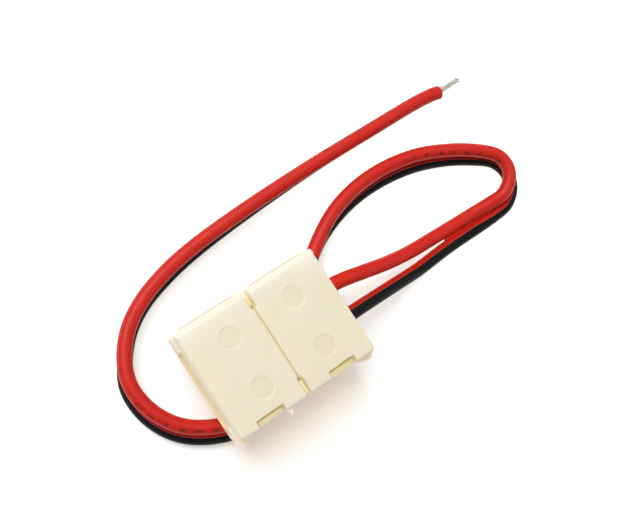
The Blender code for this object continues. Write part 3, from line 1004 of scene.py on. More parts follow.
@dataclass
class Lid:
    """A latching lid on its round hinge edge, closed, over the strip bay or the wire bay."""

    side: Side
    slit_x: float
    outer_x: float
    setback: float
    mark_x: float
    corner_radius: float = 0.0006
    latch_y: float = -0.00595
    under_z: float = 0.00075
    edge_radius: float = 0.00034
    low_edge_radius: float = 0.00015
    slit_radius: float = 0.00006
    notch_rounding: float = 0.00005
    notch_y: float = -0.0051
    mark_y: float = 0.0028
    mark_radius: float = 0.00112
    mark_depth: float = 0.00008
    mark_slope: float = 0.00011
    mark_rounding: float = 0.00006
    pit_radius: float = 0.0002
    pit_x: float = -0.00005
    pit_y: float = 0.00395
    setback_gap: float = 0.00003
    foot_rounding: float = 0.00006
    cutter_y: float = 0.008
    rib_half_width: float = 0.0008
    pad_half_width: float = 0.0006
    rail_half_width: float = 0.0002
    burr_x: float = -0.00225
    burr_z: float = 0.00185
    burr_width: float = 0.00066
    burr_length: float = 0.00075
    burr_lean: float = 0.00012

    @property
    def body(self) -> str:
        """The CAD body that the lid rides on."""
        return f"{self.side.word}_flap"

    @property
    def node(self) -> str:
        """The CAD node that the lid stands for."""
        return f"{self.side.word}_lid"

    def build(self) -> Piece:
        """Builds the lid as one closed mesh.

        Returns:
            The lid.
        """
        lid = self.build_plate()
        combine(lid, Work.CUT, *self.build_cutters())
        self.soften_cuts(lid)
        combine(lid, Work.WELD, *self.build_ribs())
        if self.side is Side.STRIP:
            combine(lid, Work.WELD, self.build_burr())
        close_cracks(lid)
        shade(lid, even=True)
        return lid

    def build_plate(self) -> Piece:
        """Builds the plate with its round hinge edge and its rounded corners and rims.

        Returns:
            The plate.
        """
        low_x, high_x = sorted((self.slit_x, self.outer_x))
        low = (low_x, self.latch_y, self.under_z)
        plate = block(f"{self.side.word}_cover", low, (high_x, HINGE_Y, TOP_Z))
        outer = upright_at(self.outer_x, self.latch_y)
        round_edges(plate, outer, self.corner_radius, 8)
        round_edges(plate, upright_at(self.slit_x, self.latch_y), self.slit_radius, 3)
        far = HINGE_Y - HAIR
        thickness = TOP_Z - self.under_z
        round_edges(
            plate,
            lambda a, b: min(a.y, b.y) > far and abs(a.x - b.x) > HAIR,
            thickness / 2 - HAIR / 2,
            10,
        )
        reach = self.side.value
        round_edges(plate, self.rim_test(TOP_Z), self.edge_radius, 6)
        round_edges(plate, self.rim_test(self.under_z), self.low_edge_radius, 4)
        slit = reach * self.slit_x + HAIR
        round_edges(plate, lambda a, b: max(reach * a.x, reach * b.x) < slit, self.slit_radius, 3)
        return plate

    def rim_test(self, height: float) -> PartTest:
        """Makes a test for the rim of the lid's top or underside, but not along the slit.

        Args:
            height: The height that the rim lies at.

        Returns:
            The test.
        """
        reach = self.side.value
        inner = reach * self.slit_x + HAIR

        def wanted(a: Vector, b: Vector) -> bool:
            """Says whether an edge is on the rim.

            Args:
                a: One end of the edge.
                b: Its other end.

            Returns:
                True if it is.
            """
            if max(reach * a.x, reach * b.x) < inner:
                return False
            crosses = abs(a.x - b.x) > HAIR and min(a.y, b.y) > 0
            return max(abs(a.z - height), abs(b.z - height)) < HAIR and not crosses

        return wanted

    def build_cutters(self) -> list[Piece]:
        """Builds the cutters for the latch notch, the setbacks, the pits and the marks.

        Returns:
            The cutters.
        """
        way = self.side.value
        low_z = self.under_z - PAST
        high_z = TOP_Z + PAST
        middle = way * NOTCH_X
        half = NOTCH_LENGTH / 2
        edges = sorted((self.slit_x + way * self.setback, self.slit_x - way * 2 * PAST))
        set_y = self.pit_y + self.setback_gap
        spans = {
            "notch": ((middle - half, -self.cutter_y), (middle + half, self.notch_y)),
            "setback_far": ((edges[0], set_y), (edges[1], self.cutter_y)),
            "setback_near": ((edges[0], -self.cutter_y), (edges[1], -set_y)),
        }
        tools = [
            block(name, (*low, low_z), (*high, high_z)) for name, (low, high) in spans.items()
        ]
        for y in (-self.pit_y, self.pit_y):
            pit = (self.pit_x, y, (low_z + high_z) / 2)
            length = high_z - low_z + 2 * ROOT
            tools.append(rod("pit", pit, self.pit_radius, length, Axis.Z, 26))
        for y in (-self.mark_y, self.mark_y):
            mark = (self.mark_x, y, TOP_Z)
            deep = 2 * self.mark_depth
            tools.append(rod("mark", mark, self.mark_radius, deep, Axis.Z, 72, self.mark_slope))
        return tools

    def soften_cuts(self, lid: Piece) -> None:
        """Rounds the rims of the marks and of the notch.

        Args:
            lid: The lid after its cuts.
        """

        def on_mark(a: Vector, b: Vector) -> bool:
            """Says whether an edge lies on a mark's upper rim.

            Args:
                a: One end of the edge.
                b: Its other end.

            Returns:
                True if it does.
            """
            if min(a.z, b.z) < TOP_Z - HAIR:
                return False
            middles = (Vector((self.mark_x, y)) for y in (-self.mark_y, self.mark_y))
            off_rims = (farther(a.xy, b.xy, middle) - self.mark_radius for middle in middles)
            return any(abs(off_rim) < HAIR for off_rim in off_rims)

        def on_notch(a: Vector, b: Vector) -> bool:
            """Says whether an edge lies on the notch's inner upper rim.

            Args:
                a: One end of the edge.
                b: Its other end.

            Returns:
                True if it does.
            """
            middle = self.side.value * NOTCH_X
            off_middle = max(abs(a.x - middle), abs(b.x - middle))
            off_wall = max(abs(a.y - self.notch_y), abs(b.y - self.notch_y))
            along = off_middle < NOTCH_LENGTH / 2 + HAIR and off_wall < HAIR
            return along and min(a.z, b.z) > TOP_Z - HAIR

        round_edges(lid, on_mark, self.mark_rounding, 4)
        round_edges(lid, on_notch, self.notch_rounding, 2)

    def build_ribs(self) -> list[Piece]:
        """Builds the rails and pads on the lid's underside.

        Returns:
            The rails and pads.
        """
        rail, rib, pad = self.rail_half_width, self.rib_half_width, self.pad_half_width
        wires = (-WIRE_Y, WIRE_Y)
        if self.side is Side.STRIP:
            rows = [(y, rail, -0.00725, -0.0012, -0.00105) for y in (-0.00345, 0.00345)]
            rows += [(y, pad, -0.0022, -0.0008, 0.0) for y in wires]
        else:
            row = (
                (rib, 0.0048, 0.0053, 0.0004),
                (rib, 0.0061, 0.0066, 0.0004),
                (pad, 0.00255, 0.00375, 0.00035),
            )
            rows = [(y, *part) for y in wires for part in row]
        root = self.under_z + ROOT
        ribs = []
        for y, half, low_x, high_x, foot in rows:
            ribs.append(block("rib", (low_x, y - half, foot), (high_x, y + half, root)))
            rim = foot + HAIR
            round_edges(ribs[-1], lambda a, b: max(a.z, b.z) < rim, self.foot_rounding, 2)
        return ribs

    def build_burr(self) -> Piece:
        """Builds the torn nib that the mould's gate left on the latch edge.

        Returns:
            The nib.
        """
        burr = primitive(
            "burr",
            bpy.ops.mesh.primitive_cone_add,
            (1.0, 0.6, 1.0),
            vertices=12,
            radius1=self.burr_width / 2,
            radius2=self.burr_width / 14,
            depth=self.burr_length,
            location=(self.burr_x, self.latch_y - self.burr_length / 2 + 0.0001, self.burr_z),
            rotation=(math.pi / 2, 0.0, 0.0),
        )
        tip = self.latch_y - self.burr_length / 2
        for vertex in burr.data.vertices:
            if vertex.co.y < tip:
                vertex.co.x -= self.burr_lean
                vertex.co.z -= self.burr_lean
        return burr


@dataclass
class HingeFilm:
    """The thin living hinge that joins a lid to the tray and bows out when it is closed."""

    side: Side
    near_x: float = 0.0006
    far_x: float = 0.0075
    thickness: float = 0.00012
    low_z: float = 0.00028
    high_z: float = 0.00150
    root_y: float = 0.00589
    bow: float = 0.00024
    columns: int = 30
    rows: int = 14

    def build(self) -> Piece:
        """Builds the film as a thin upright strip in rows and columns, bowed out in its middle.

        Returns:
            The film.
        """
        length = self.far_x - self.near_x
        height = self.high_z - self.low_z
        middle_x = self.side.value * (self.near_x + self.far_x) / 2
        film = primitive(
            f"hinge_film_{self.side.word}",
            bpy.ops.mesh.primitive_grid_add,
            (length, height, 1.0),
            x_subdivisions=self.columns,
            y_subdivisions=self.rows,
            size=1.0,
            location=(middle_x, self.root_y, (self.low_z + self.high_z) / 2),
            rotation=(math.pi / 2, 0.0, 0.0),
        )
        for vertex in film.data.vertices:
            along = 2 * (vertex.co.x - middle_x) / length
            up = (vertex.co.z - self.low_z) / height
            vertex.co.y += self.bow * (1 - along**6) * math.sin(math.pi * up)
        apply_modifier(film, "SOLIDIFY", thickness=self.thickness, offset=0.0)
        shade(film)
        return film


@dataclass
class SpringContact:
    """A tin-plated spring contact: an arched tongue, a shank and a crimp barrel."""

    name: str
    y: float
    sheet: float = 0.00025
    width: float = 0.0012
    shank_z: float = -0.00117
    crimp_x: float = 0.00315
    crimp_length: float = 0.0018
    crimp_radius: float = 0.00065
    crimp_half_gap: float = math.radians(40)
    tip_length: float = 0.0002
    tip_radius: float = 0.0003
    strip_edge: float = 0.00003
    barrel_edge: float = 0.00004
    barrel_thinning: float = 0.00002
    tongue: tuple[tuple[float, float], ...] = (
        (0.0010, -0.001170),
        (-0.00055, -0.001170),
        (-0.00080, -0.001060),
        (-0.00105, -0.000600),
        (-0.00130, -0.000230),
        (-0.00165, -0.000120),
        (-0.00205, -0.000130),
        (-0.00245, -0.000260),
        (-0.00335, -0.000640),
        (-0.00430, -0.000960),
        (-0.00475, -0.001045),
        (-0.00500, -0.001010),
        (-0.00578, -0.000650),
    )

    def build(self) -> Piece:
        """Builds the contact as one mesh.

        Returns:
            The contact.
        """
        strip = self.build_strip()
        combine(strip, Work.WELD, self.build_barrel())
        shade(strip, math.radians(35))
        return strip

    def build_strip(self) -> Piece:
        """Draws the tongue and the shank out from an edge, and thickens the sheet.

        Returns:
            The strip.
        """
        first_x = self.crimp_x + self.crimp_length / 2
        second_x = self.tongue[0][0]
        strip = primitive(
            self.name,
            bpy.ops.mesh.primitive_plane_add,
            (first_x - second_x, self.width, 1.0),
            size=1.0,
            location=((first_x + second_x) / 2, self.y, self.shank_z),
        )
        pick(strip, Part.EDGE, lambda a, b: max(a.x, b.x) < second_x + HAIR)
        for before, after in zip(self.tongue, self.tongue[1:]):
            step = (after[0] - before[0], 0.0, after[1] - before[1])
            bpy.ops.mesh.extrude_edges_move(TRANSFORM_OT_translate={"value": step})
        bpy.ops.object.mode_set(mode="OBJECT")
        apply_modifier(strip, "SOLIDIFY", thickness=self.sheet, offset=0.0, use_even_offset=True)
        tip = self.tongue[-1][0] + self.tip_length

        def at_corner(a: Vector, b: Vector) -> bool:
            """Says whether an edge stands through the sheet at one of the tip's corners.

            Args:
                a: One end of the edge.
                b: Its other end.

            Returns:
                True if it does.
            """
            at_side = abs(abs(a.y - self.y) - self.width / 2) < HAIR
            at_side = at_side and abs(a.y - b.y) < self.width / 2 - HAIR
            through = (a.xz - b.xz).length > HAIR and (a - b).length < self.sheet * 1.5
            return max(a.x, b.x) < tip and at_side and through

        round_edges(strip, at_corner, self.tip_radius, 5)
        break_edges(strip, self.strip_edge)
        return strip

    def build_barrel(self) -> Piece:
        """Rolls the open crimp barrel from a tube whose upper faces are taken out.

        Returns:
            The barrel.
        """
        middle = (self.crimp_x, self.y, WIRE_AXIS_Z)
        barrel = rod("barrel", middle, self.crimp_radius, self.crimp_length, Axis.X, 40)

        def open_part(centre: Vector, normal: Vector) -> bool:
            """Says whether a face closes the tube's end or its upper side.

            Args:
                centre: The face's middle.
                normal: Its normal.

            Returns:
                True if it does.
            """
            place = centre - Vector(middle)
            lean = abs(math.atan2(place.y, place.z))
            return abs(normal.x) > 0.5 or lean < self.crimp_half_gap

        pick(barrel, Part.FACE, open_part)
        bpy.ops.mesh.delete(type="FACE")
        bpy.ops.object.mode_set(mode="OBJECT")
        thickness = self.sheet - self.barrel_thinning
        apply_modifier(barrel, "SOLIDIFY", thickness=thickness, offset=0.0)
        break_edges(barrel, self.barrel_edge)
        return barrel


def between(before: Vector, start: Vector, end: Vector, after: Vector, share: float) -> Vector:
    """Finds a point of the smooth curve that passes through start and end.

    Args:
        before: The point before the start.
        start: The stretch's start.
        end: The stretch's end.
        after: The point after the end.
        share: The share of the stretch.

    Returns:
        The point.
    """
    leaving = (end - before) / 2
    arriving = (after - start) / 2
    bend = 2 * start - 2 * end + leaving + arriving
    rise = 3 * end - 3 * start - 2 * leaving - arriving
    return start + share * (leaving + share * (rise + share * bend))


def smooth_through(points: Sequence[Sequence[float]], steps: int) -> list[Vector]:
    """Draws a smooth curve through points.

    Args:
        points: The points, of three numbers each.
        steps: How many steps lie between two of them.

    Returns:
        The curve's points.
    """
    chosen = [Vector(point) for point in points]
    padded = [2 * chosen[0] - chosen[1], *chosen, 2 * chosen[-1] - chosen[-2]]
    curve = []
    for i in range(1, len(padded) - 2):
        for step in range(steps):
            curve.append(between(*padded[i - 1 : i + 3], step / steps))
    curve.append(chosen[-1])
    return curve


def heading(line: Sequence[Vector], i: int) -> Vector:
    """Returns a line's way at its point number i, from the points before and after it."""
    return (line[min(i + 1, len(line) - 1)] - line[max(i - 1, 0)]).normalized()


def round_profile(radius: float, sides: int) -> list[tuple[float, float]]:
    """Returns a round section's outline, as draw_tube takes it."""
    return [(-180 + 360 * k / sides, radius) for k in range(sides)]


@dataclass
class Station:
    """A place along a tube: its middle, the way up to the red wire, and a stretch that way."""

    middle: Vector
    to_red: Vector
    stretch: float = 1.0


def draw_tube(
    name: str, stations: Sequence[Station], profile: Sequence[tuple[float, float]]
) -> Piece:
    """Draws a closed tube along stations, with a map of its way round and along.

    Args:
        name: The piece's name.
        stations: The places along it.
        profile: The outline of its section, as the angle from the way to the red wire,
            in degrees from -180, and the radius.

    Returns:
        The tube.
    """
    mesh = bmesh.new()
    lay = mesh.loops.layers.uv.new("Lay")
    rings = []
    line = [station.middle for station in stations]
    travelled = [0.0]
    for before, after in zip(line, line[1:]):
        travelled.append(travelled[-1] + (after - before).length)
    for i, station in enumerate(stations):
        along = heading(line, i)
        up = (station.to_red - along * station.to_red.dot(along)).normalized()
        side = along.cross(up)
        ring = []
        for angle, radius in profile:
            turn = math.radians(angle)
            reach = station.stretch * math.cos(turn) * up + math.sin(turn) * side
            ring.append(mesh.verts.new(station.middle + radius * reach))
        rings.append(ring)
    count = len(profile)
    for i, (lower, upper) in enumerate(zip(rings, rings[1:])):
        for k in range(count):
            after = (k + 1) % count
            face = mesh.faces.new((lower[k], lower[after], upper[after], upper[k]))
            near, far = travelled[i : i + 2]
            first, last = k / count, (k + 1) / count
            places = ((first, near), (last, near), (last, far), (first, far))
            for loop, place in zip(face.loops, places):
                loop[lay].uv = place
            face.smooth = True
    for end in (0, -1):
        for loop in mesh.faces.new(rings[end]).loops:
            loop[lay].uv = (0.5, travelled[end])
    bmesh.ops.recalc_face_normals(mesh, faces=mesh.faces[:])
    data = bpy.data.meshes.new(name)
    mesh.to_mesh(data)
    mesh.free()
    data.set_sharp_from_angle(angle=SHARP_ANGLE)
    tube = bpy.data.objects.new(name, data)
    bpy.context.scene.collection.objects.link(tube)
    return tube


@dataclass
class TwinLead:
    """The red and black wires: apart at the housing, then bonded, black below red."""

    diameter: float = 0.00155
    pitch: float = 0.00162
    floor_z: float = -0.00575
    insulation_x: float = 0.0047
    exit_x: float = 0.0080
    steps: int = 9
    sides: int = 32
    end_rounding: float = 0.00012
    apart_lean: float = 86.0
    tear_x: float = 0.0239
    web_thickness: float = 0.00036
    web_root: float = 0.36
    red_apart: tuple[Point, ...] = (
        (0.0100, 0.00156, -0.00075),
        (0.0126, 0.00108, -0.00152),
        (0.0158, 0.00050, -0.00270),
        (0.0192, 0.00012, -0.00388),
        (0.0228, -0.00003, -0.00455),
        (0.0256, -0.00013, -0.00464),
    )
    black_apart: tuple[Point, ...] = (
        (0.0100, -0.00176, -0.00080),
        (0.0126, -0.00182, -0.00170),
        (0.0158, -0.00192, -0.00300),
        (0.0192, -0.00200, -0.00425),
        (0.0228, -0.00183, -0.00483),
        (0.0256, -0.00176, -0.00493),
    )
    red_end: Point = (0.03298, 0.01341, -0.00340)
    red_bare: tuple[Point, Point] = ((0.0017, 0.0001, -0.0001), (0.0031, 0.0002, -0.0001))
    black_bare: tuple[float, float] = (0.0017, 0.0032)
    bare_root: float = 0.0002
    core_x: float = 0.0048
    core_length: float = 0.0030
    core_steps: int = 20
    route: tuple[Point, ...] = (
        (0.0284, -0.00099, 77.0),
        (0.03078, -0.00100, 63.0),
        (0.03296, -0.00083, 50.0),
        (0.03462, 0.00031, 34.0),
        (0.03522, 0.00195, 15.0),
        (0.0347, 0.00370, -5.0),
        (0.03288, 0.00522, -17.0),
        (0.0299, 0.00690, -23.5),
        (0.0262, 0.00827, -31.0),
        (0.0222, 0.00890, -33.0),
        (0.0183, 0.00880, -29.0),
        (0.0146, 0.00796, -22.0),
        (0.0111, 0.00630, -11.0),
        (0.0080, 0.00393, -11.0),
        (0.0047, 0.00025, -18.0),
        (0.0014, -0.00312, -26.0),
        (-0.0022, -0.00477, -32.0),
        (-0.0058, -0.00503, -36.0),
        (-0.0090, -0.00390, -36.0),
        (-0.0115, -0.00194, -31.0),
        (-0.0130, 0.00085, -22.0),
        (-0.0133, 0.00394, -11.0),
        (-0.01225, 0.00655, 3.0),
        (-0.01032, 0.00886, 8.0),
        (-0.00774, 0.01052, 9.0),
        (-0.00447, 0.01167, 10.5),
        (-0.00079, 0.01244, 9.0),
        (0.0040, 0.01298, 5.0),
        (0.0100, 0.01341, 0.0),
        (0.0165, 0.01371, -6.0),
        (0.0230, 0.01381, -8.0),
        (0.0290, 0.01388, -8.5),
        (0.0316, 0.01378, -10.0),
    )
    middle: list[Vector] = field(default_factory=list)

    def __post_init__(self) -> None:
        """Works out the bonded pair's middle line: x, y and lean in degrees."""
        self.middle = smooth_through(self.route, self.steps)

    def build(self, red: Material, black: Material, strands: Material) -> None:
        """Args:
            red: The red insulation.
            black: The black insulation.
            strands: The bare strands' metal.
        """
        web = self.build_web()
        hand_in(web, red)
        for wire, material in ((Wire.RED, red), (Wire.BLACK, black)):
            lead, stations = self.build_wire(wire)
            bare = self.build_bare_end(wire, stations)
            core = self.build_core(wire)
            hand_in(lead, material, f"{wire.word}_wire")
            hand_in(bare, strands, f"{wire.word}_bare_end")
            hand_in(core, strands, f"{wire.word}_conductor")

    def bonded(self, wire: Wire) -> list[Station]:
        """Lays a wire's stations along the bonded length.

        Args:
            wire: Which wire.

        Returns:
            The stations.
        """
        stations = []
        flat = [place.xy for place in self.middle]
        for i, place in enumerate(self.middle):
            along = heading(flat, i)
            lean = math.radians(place.z)
            to_red = Vector((-along.y * math.sin(lean), along.x * math.sin(lean), math.cos(lean)))
            rise = self.diameter / 2 + (1 + wire.value) * self.pitch / 2 * math.cos(lean)
            across = wire.value * self.pitch / 2 * math.sin(lean)
            x = place.x - across * along.y
            y = place.y + across * along.x
            stations.append(Station(Vector((x, y, self.floor_z + rise)), to_red))
        return stations

    def apart(self, wire: Wire) -> list[Vector]:
        """Lays a wire's middle line from inside the housing to where the pair is bonded.

        Args:
            wire: Which wire.

        Returns:
            The line's points.
        """
        bonded = self.bonded(wire)
        apart = self.red_apart if wire is Wire.RED else self.black_apart
        y = wire.value * WIRE_Y
        start = [(x, y, WIRE_AXIS_Z) for x in (self.insulation_x, self.exit_x)]
        ahead = (bonded[0].middle, bonded[self.steps].middle)
        return smooth_through([*start, *apart, *ahead], self.steps)[: -self.steps - 1]

    def stations(self, wire: Wire) -> list[Station]:
        """Lays a wire's stations from inside the housing to its far end.

        Args:
            wire: Which wire.

        Returns:
            The stations.
        """
        bonded = self.bonded(wire)
        alone = self.apart(wire)
        lean = math.radians(self.apart_lean)
        first = Vector((0.0, math.sin(lean), math.cos(lean)))
        last = bonded[0].to_red
        stations = [
            Station(point, first.lerp(last, i / len(alone))) for i, point in enumerate(alone)
        ]
        stations += bonded
        if wire is Wire.RED:
            run = [bonded[-self.steps - 1].middle, bonded[-1].middle, Vector(self.red_end)]
            for point in smooth_through(run, self.steps)[self.steps + 1 :]:
                stations.append(Station(point, bonded[-1].to_red))
        return stations

    def build_wire(self, wire: Wire) -> tuple[Piece, list[Station]]:
        """Builds a wire's insulation, with both ends eased.

        Args:
            wire: Which wire.

        Returns:
            The wire, and its stations.
        """
        stations = self.stations(wire)
        profile = round_profile(self.diameter / 2, self.sides)
        lead = draw_tube(f"{wire.word}_lead", stations, profile)
        for end in (stations[0].middle, stations[-1].middle):
            round_edges(lead, self.rim_about(end), self.end_rounding, 3)
        lead.data.set_sharp_from_angle(angle=SHARP_ANGLE)
        return lead, stations

    def rim_about(self, end: Vector) -> PartTest:
        """Makes a test for the rim about a wire's end.

        Args:
            end: The end's middle.

        Returns:
            The test.
        """
        radius = self.diameter / 2 + HAIR
        return lambda a, b: (
            farther(a, b, end) < radius and abs((a - end).length - (b - end).length) < HAIR
        )

    @property
    def web_half_height(self) -> float:
        """Half the web's height between the bonded wires, with its roots in both."""
        return self.pitch / 2 - self.diameter * self.web_root

    def build_web(self) -> Piece:
        """Builds the narrow web that bonds the two wires, from the tear that parts them.

        Returns:
            The web.
        """
        torn = [
            self.web_station(red, black)
            for red, black in zip(self.apart(Wire.RED), self.apart(Wire.BLACK))
            if red.x > self.tear_x
        ]
        whole = [
            self.web_station(red.middle, black.middle)
            for red, black in zip(self.bonded(Wire.RED), self.bonded(Wire.BLACK))
        ]
        profile = []
        for up, across in ((-1, -1), (0, -1.3), (1, -1), (1, 1), (0, 1.3), (-1, 1)):
            x, y = up * self.web_half_height, across * self.web_thickness / 2
            profile.append((math.degrees(math.atan2(y, x)), math.hypot(x, y)))
        return draw_tube("lead_web", torn + whole[:-1], profile)

    def web_station(self, red: Vector, black: Vector) -> Station:
        """Lays the web's station between two places on the wires' middle lines.

        Args:
            red: The place on the red wire's line.
            black: The place on the black wire's line.

        Returns:
            The station.
        """
        reach = (red - black).length / 2 - self.diameter * self.web_root
        stretch = reach / self.web_half_height
        return Station((red + black) / 2, (red - black).normalized(), stretch)

    def build_bare_end(self, wire: Wire, stations: Sequence[Station]) -> Piece:
        """Builds the bare strands at a wire's far end.

        Args:
            wire: Which wire.
            stations: The wire's stations.

        Returns:
            The strands.
        """
        last = stations[-1].middle
        along = (last - stations[-2].middle).normalized()
        if wire is Wire.RED:
            offsets = [Vector(offset) for offset in self.red_bare]
        else:
            offsets = [reach * along for reach in self.black_bare]
        root = last - self.bare_root * along
        path = smooth_through([root, *(last + offset for offset in offsets)], 10)
        return StrandBundle(f"{wire.word}_strands", path).build()

    def build_core(self, wire: Wire) -> Piece:
        """Builds the stripped strands that lie in a crimp.

        Args:
            wire: Which wire.

        Returns:
            The strands.
        """
        steps = range(self.core_steps + 1)
        line = (self.core_x - self.core_length * k / self.core_steps for k in steps)
        path = [Vector((x, wire.value * WIRE_Y, WIRE_AXIS_Z)) for x in line]
        return StrandBundle(f"{wire.word}_core", path, fray=0.0).build()


@dataclass
class StrandBundle:
    """A bare end: fine tinned strands laid in a slow twist about the wire's line."""

    name: str
    path: Sequence[Vector]
    strand: float = 0.000148
    rings: tuple[tuple[int, float], ...] = ((1, 0.0), (6, 1.02), (12, 1.98))
    twists: float = 90.0
    sides: int = 8
    fray: float = 0.00006

    def build(self) -> Piece:
        """Builds the strands one by one and joins them into one piece.

        Returns:
            The bundle.
        """
        pieces = []
        for count, reach in self.rings:
            for k in range(count):
                phase = 2 * math.pi * k / count
                pieces.append(self.draw_strand(len(pieces), self.strand * reach, phase))
        choose(pieces[0])
        for piece in pieces:
            piece.select_set(True)
        bpy.ops.object.join()
        pieces[0].name = pieces[0].data.name = self.name
        return pieces[0]

    def draw_strand(self, number: int, reach: float, phase: float) -> Piece:
        """Draws one strand.

        Args:
            number: Its number, from which its own small slack comes.
            reach: How far from the bundle's middle it lies.
            phase: Its angle at the start.

        Returns:
            The strand.
        """
        stations = []
        travelled = 0.0
        last = len(self.path) - 1
        for i, point in enumerate(self.path):
            along = heading(self.path, i)
            travelled += (point - self.path[max(i - 1, 0)]).length
            up = (Vector((0, 0, 1)) - along * along.z).normalized()
            side = along.cross(up)
            angle = phase + 2 * math.pi * self.twists * travelled
            loose = 1 + (i / last) ** 2 * self.fray / self.strand * math.sin(7.0 * number)
            place = reach * loose * (math.cos(angle) * up + math.sin(angle) * side)
            stations.append(Station(point + place, up))
        uneven = stations[: len(stations) - number % 3]
        profile = round_profile(self.strand / 2, self.sides)
        return draw_tube(f"{self.name}_{number}", uneven, profile)


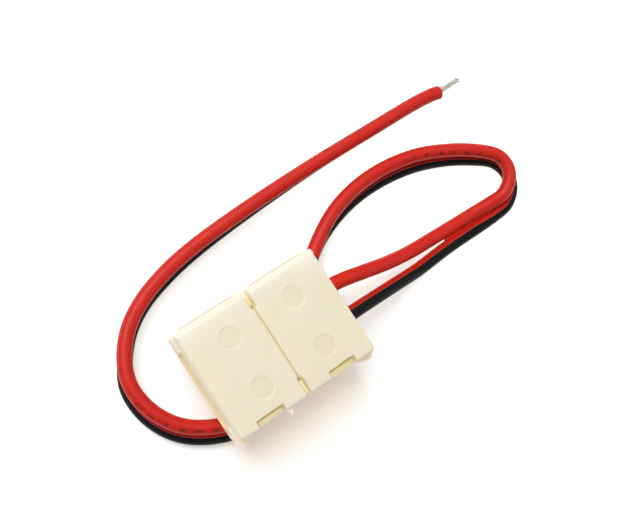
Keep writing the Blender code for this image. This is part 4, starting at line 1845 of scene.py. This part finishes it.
@dataclass
class Studio:
    """The pale floor, the soft lamps and the camera."""

    floor_z: float = -0.00576
    paper: Colour = (0.77, 0.80, 0.83)
    # Where the floor's painted warm light lies, near the latch side.
    warm_y: float = -0.0060
    warm_start: float = 0.0125
    warm_end: float = 0.0075
    pale_tint: Colour = (1.0, 0.96, 0.90)
    painted_warm_tint: Colour = (1.0, 0.82, 0.64)
    # The floor's painted light farther out, which fades the wires' shadows there.
    haze_start: float = 0.0110
    haze_end: float = 0.028
    haze_power: float = 0.55
    floor_power: float = 0.38
    world_light: float = 0.29
    lamp_size: float = 0.40
    lamps: tuple[tuple[str, Point, float, Colour], ...] = (
        ("window", (-0.05, 0.29, 0.54), 3.45, (1.0, 0.985, 0.96)),
        ("fill", (0.42, -0.12, 0.36), 0.45, (1.0, 0.97, 0.94)),
    )
    camera_place: Point = (-0.018222, 0.00147, 0.081268)
    camera_right: Point = (0.8003, -0.5464, 0.2468)
    camera_up: Point = (0.5116, 0.8370, 0.1941)
    camera_back: Point = (-0.3126, -0.0290, 0.9494)
    lens: float = 47.86

    def build(self) -> None:
        """Sets up the floor, the lamps, the world and the camera."""
        scene = bpy.context.scene
        scene.view_settings.view_transform = "Standard"
        self.build_floor()
        self.build_world(scene)
        for name, place, power, colour in self.lamps:
            self.hang_lamp(name, place, power, colour)
        self.place_camera(scene)

    def build_floor(self) -> None:
        """Lays a large pale floor that keeps the object's shadow."""
        floor = primitive(
            "studio_floor",
            bpy.ops.mesh.primitive_circle_add,
            vertices=64,
            radius=1.6,
            fill_type="NGON",
            location=(0, 0, self.floor_z),
        )
        graph = Graph("floor_paper")
        diffuse = graph.feed(graph.add("BsdfDiffuse"), Color=(*self.paper, 1.0))
        far = graph.add("VectorMath", operation="DISTANCE")
        graph.feed(far, i0=graph.place(), i1=(0.0, self.warm_y, 0.0))
        # Painted light: the glow grows farther from the housing and fades the shadows there.
        haze = graph.ramp(far.outputs["Value"], self.haze_start, self.haze_end)
        # Painted warm light near the latch side tints the housing's shadow, as if lit through the
        # plastic; the cool paper keeps the lit floor white.
        warm = graph.ramp(far.outputs["Value"], self.warm_start, self.warm_end)
        tint = graph.blend(warm, self.pale_tint, self.painted_warm_tint)
        power = graph.math("MULTIPLY_ADD", haze, self.haze_power, self.floor_power)
        glow = graph.feed(graph.add("Emission"), Color=tint, Strength=power)
        both = graph.feed(graph.add("AddShader"), i0=diffuse.outputs[0], i1=glow.outputs[0])
        rays = graph.add("LightPath").outputs
        seen = graph.math("MAXIMUM", rays["Is Camera Ray"], rays["Is Glossy Ray"])
        seen = graph.math("MAXIMUM", seen, rays["Is Transmission Ray"])
        mix = graph.add("MixShader")
        graph.feed(mix, i0=seen, i1=diffuse.outputs[0], i2=both.outputs[0])
        graph.feed(graph.tree.nodes["Material Output"], Surface=mix.outputs[0])
        graph.tree.nodes.remove(graph.shader)
        floor.data.materials.append(graph.material)

    def build_world(self, scene: bpy.types.Scene) -> None:
        """Gives a white surround that lights the object softly.

        Args:
            scene: The scene.
        """
        world = bpy.data.worlds.new("studio_surround")
        world.use_nodes = True
        tree = world.node_tree
        background = tree.nodes["Background"]
        background.inputs["Color"].default_value = (1.0, 1.0, 1.0, 1.0)
        rays = tree.nodes.new("ShaderNodeLightPath")
        seen = tree.nodes.new("ShaderNodeMath")
        seen.operation = "MAXIMUM"
        strength = tree.nodes.new("ShaderNodeMapRange")
        strength.inputs["To Min"].default_value = self.world_light
        tree.links.new(rays.outputs["Is Camera Ray"], seen.inputs[0])
        tree.links.new(rays.outputs["Is Transmission Ray"], seen.inputs[1])
        tree.links.new(seen.outputs[0], strength.inputs["Value"])
        tree.links.new(strength.outputs[0], background.inputs["Strength"])
        scene.world = world

    def hang_lamp(self, name: str, place: Point, power: float, colour: Colour) -> None:
        """Hangs a square lamp that points at the housing.

        Args:
            name: The lamp's name.
            place: Where it hangs.
            power: Its power in watts.
            colour: Its colour.
        """
        data = bpy.data.lights.new(name, "AREA")
        data.shape = "SQUARE"
        data.size = self.lamp_size
        data.energy = power
        data.color = colour
        lamp = bpy.data.objects.new(name, data)
        lamp.location = place
        lamp.rotation_euler = Vector(place).to_track_quat("Z", "Y").to_euler()
        bpy.context.scene.collection.objects.link(lamp)

    def place_camera(self, scene: bpy.types.Scene) -> None:
        """Places the camera above the connector, as the object was seen.

        Args:
            scene: The scene.
        """
        data = bpy.data.cameras.new("camera")
        data.sensor_width = 36.0
        data.lens = self.lens
        data.clip_start = 0.002
        camera = bpy.data.objects.new("camera", data)
        columns = (self.camera_right, self.camera_up, self.camera_back)
        turn = Matrix(columns).transposed().to_4x4()
        camera.matrix_world = Matrix.Translation(self.camera_place) @ turn
        scene.collection.objects.link(camera)
        scene.camera = camera


def main() -> None:
    """Builds the connector's pieces in order, then the studio."""
    logging.basicConfig(level=logging.INFO, format="%(message)s")
    # Painted glow: weak over the whole tray, stronger at its strip end, its ears and the posts at
    # the slit.
    plastic = MouldedPlastic(
        "cream_plastic",
        painted_glow_colour=(0.085, 0.062, 0.030),
        painted_edge_glow_colour=(0.250, 0.185, 0.135),
        painted_glow_heights=(-0.0040, 0.0040),
        # Painted shade on the hooks and posts that stand under the lids.
        recess_shade_share=0.9,
        recess_shade_heights=(0.0004, 0.0009),
    ).make()
    # Painted glow on the lids' side walls below their tops, with other colours at the slit, strip
    # end and latch edge.
    lid_plastic = MouldedPlastic(
        "lid_plastic",
        painted_glow_colour=(0.180, 0.140, 0.060),
        painted_edge_glow_colour=(0.180, 0.150, 0.100),
        painted_glow_heights=(0.00078, 0.00210),
        # Light painted shade below the lids' tops, in the marks and on the walls of the slit and
        # notches.
        recess_shade_share=0.12,
        recess_shade_heights=(0.00222, 0.00216),
    ).make()
    red_colour, ink_colour = (0.620, 0.016, 0.006), (0.06, 0.008, 0.007)
    red = WireInsulation("red_insulation", red_colour, ink=ink_colour).make()
    # The black wire's red stripe is real; its red is painted darker than the red wire's, as
    # painted shade in the groove between the wires.
    black_colour, shaded_stripe_colour = (0.007, 0.007, 0.007), (0.480, 0.012, 0.005)
    black = WireInsulation("black_insulation", black_colour, shaded_stripe_colour, shine=0.10).make()
    tin = TinnedMetal("tinned_sheet", (0.74, 0.72, 0.66), 0.30).make()
    strands = TinnedMetal("tinned_strands", (0.86, 0.84, 0.77), 0.36, (3000.0,) * 3).make()
    TwinLead().build(red, black, strands)
    hand_in(Tray().build(), plastic, "base_housing")
    lids = (
        Lid(Side.STRIP, slit_x=-0.00015, outer_x=-0.00785, setback=0.00015, mark_x=-0.00345),
        Lid(Side.WIRE, slit_x=0.00005, outer_x=0.0080, setback=0.00025, mark_x=0.00385),
    )
    for lid in lids:
        hand_in(lid.build(), lid_plastic, lid.node, lid.body)
        film = HingeFilm(lid.side).build()
        hand_in(film, plastic, body=None)
        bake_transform(film)
    for name, y in (("positive", WIRE_Y), ("negative", -WIRE_Y)):
        contact = SpringContact(f"{name}_spring", y).build()
        hand_in(contact, tin, f"{name}_contact")
    Studio().build()


if __name__ == "__main__":
    main()
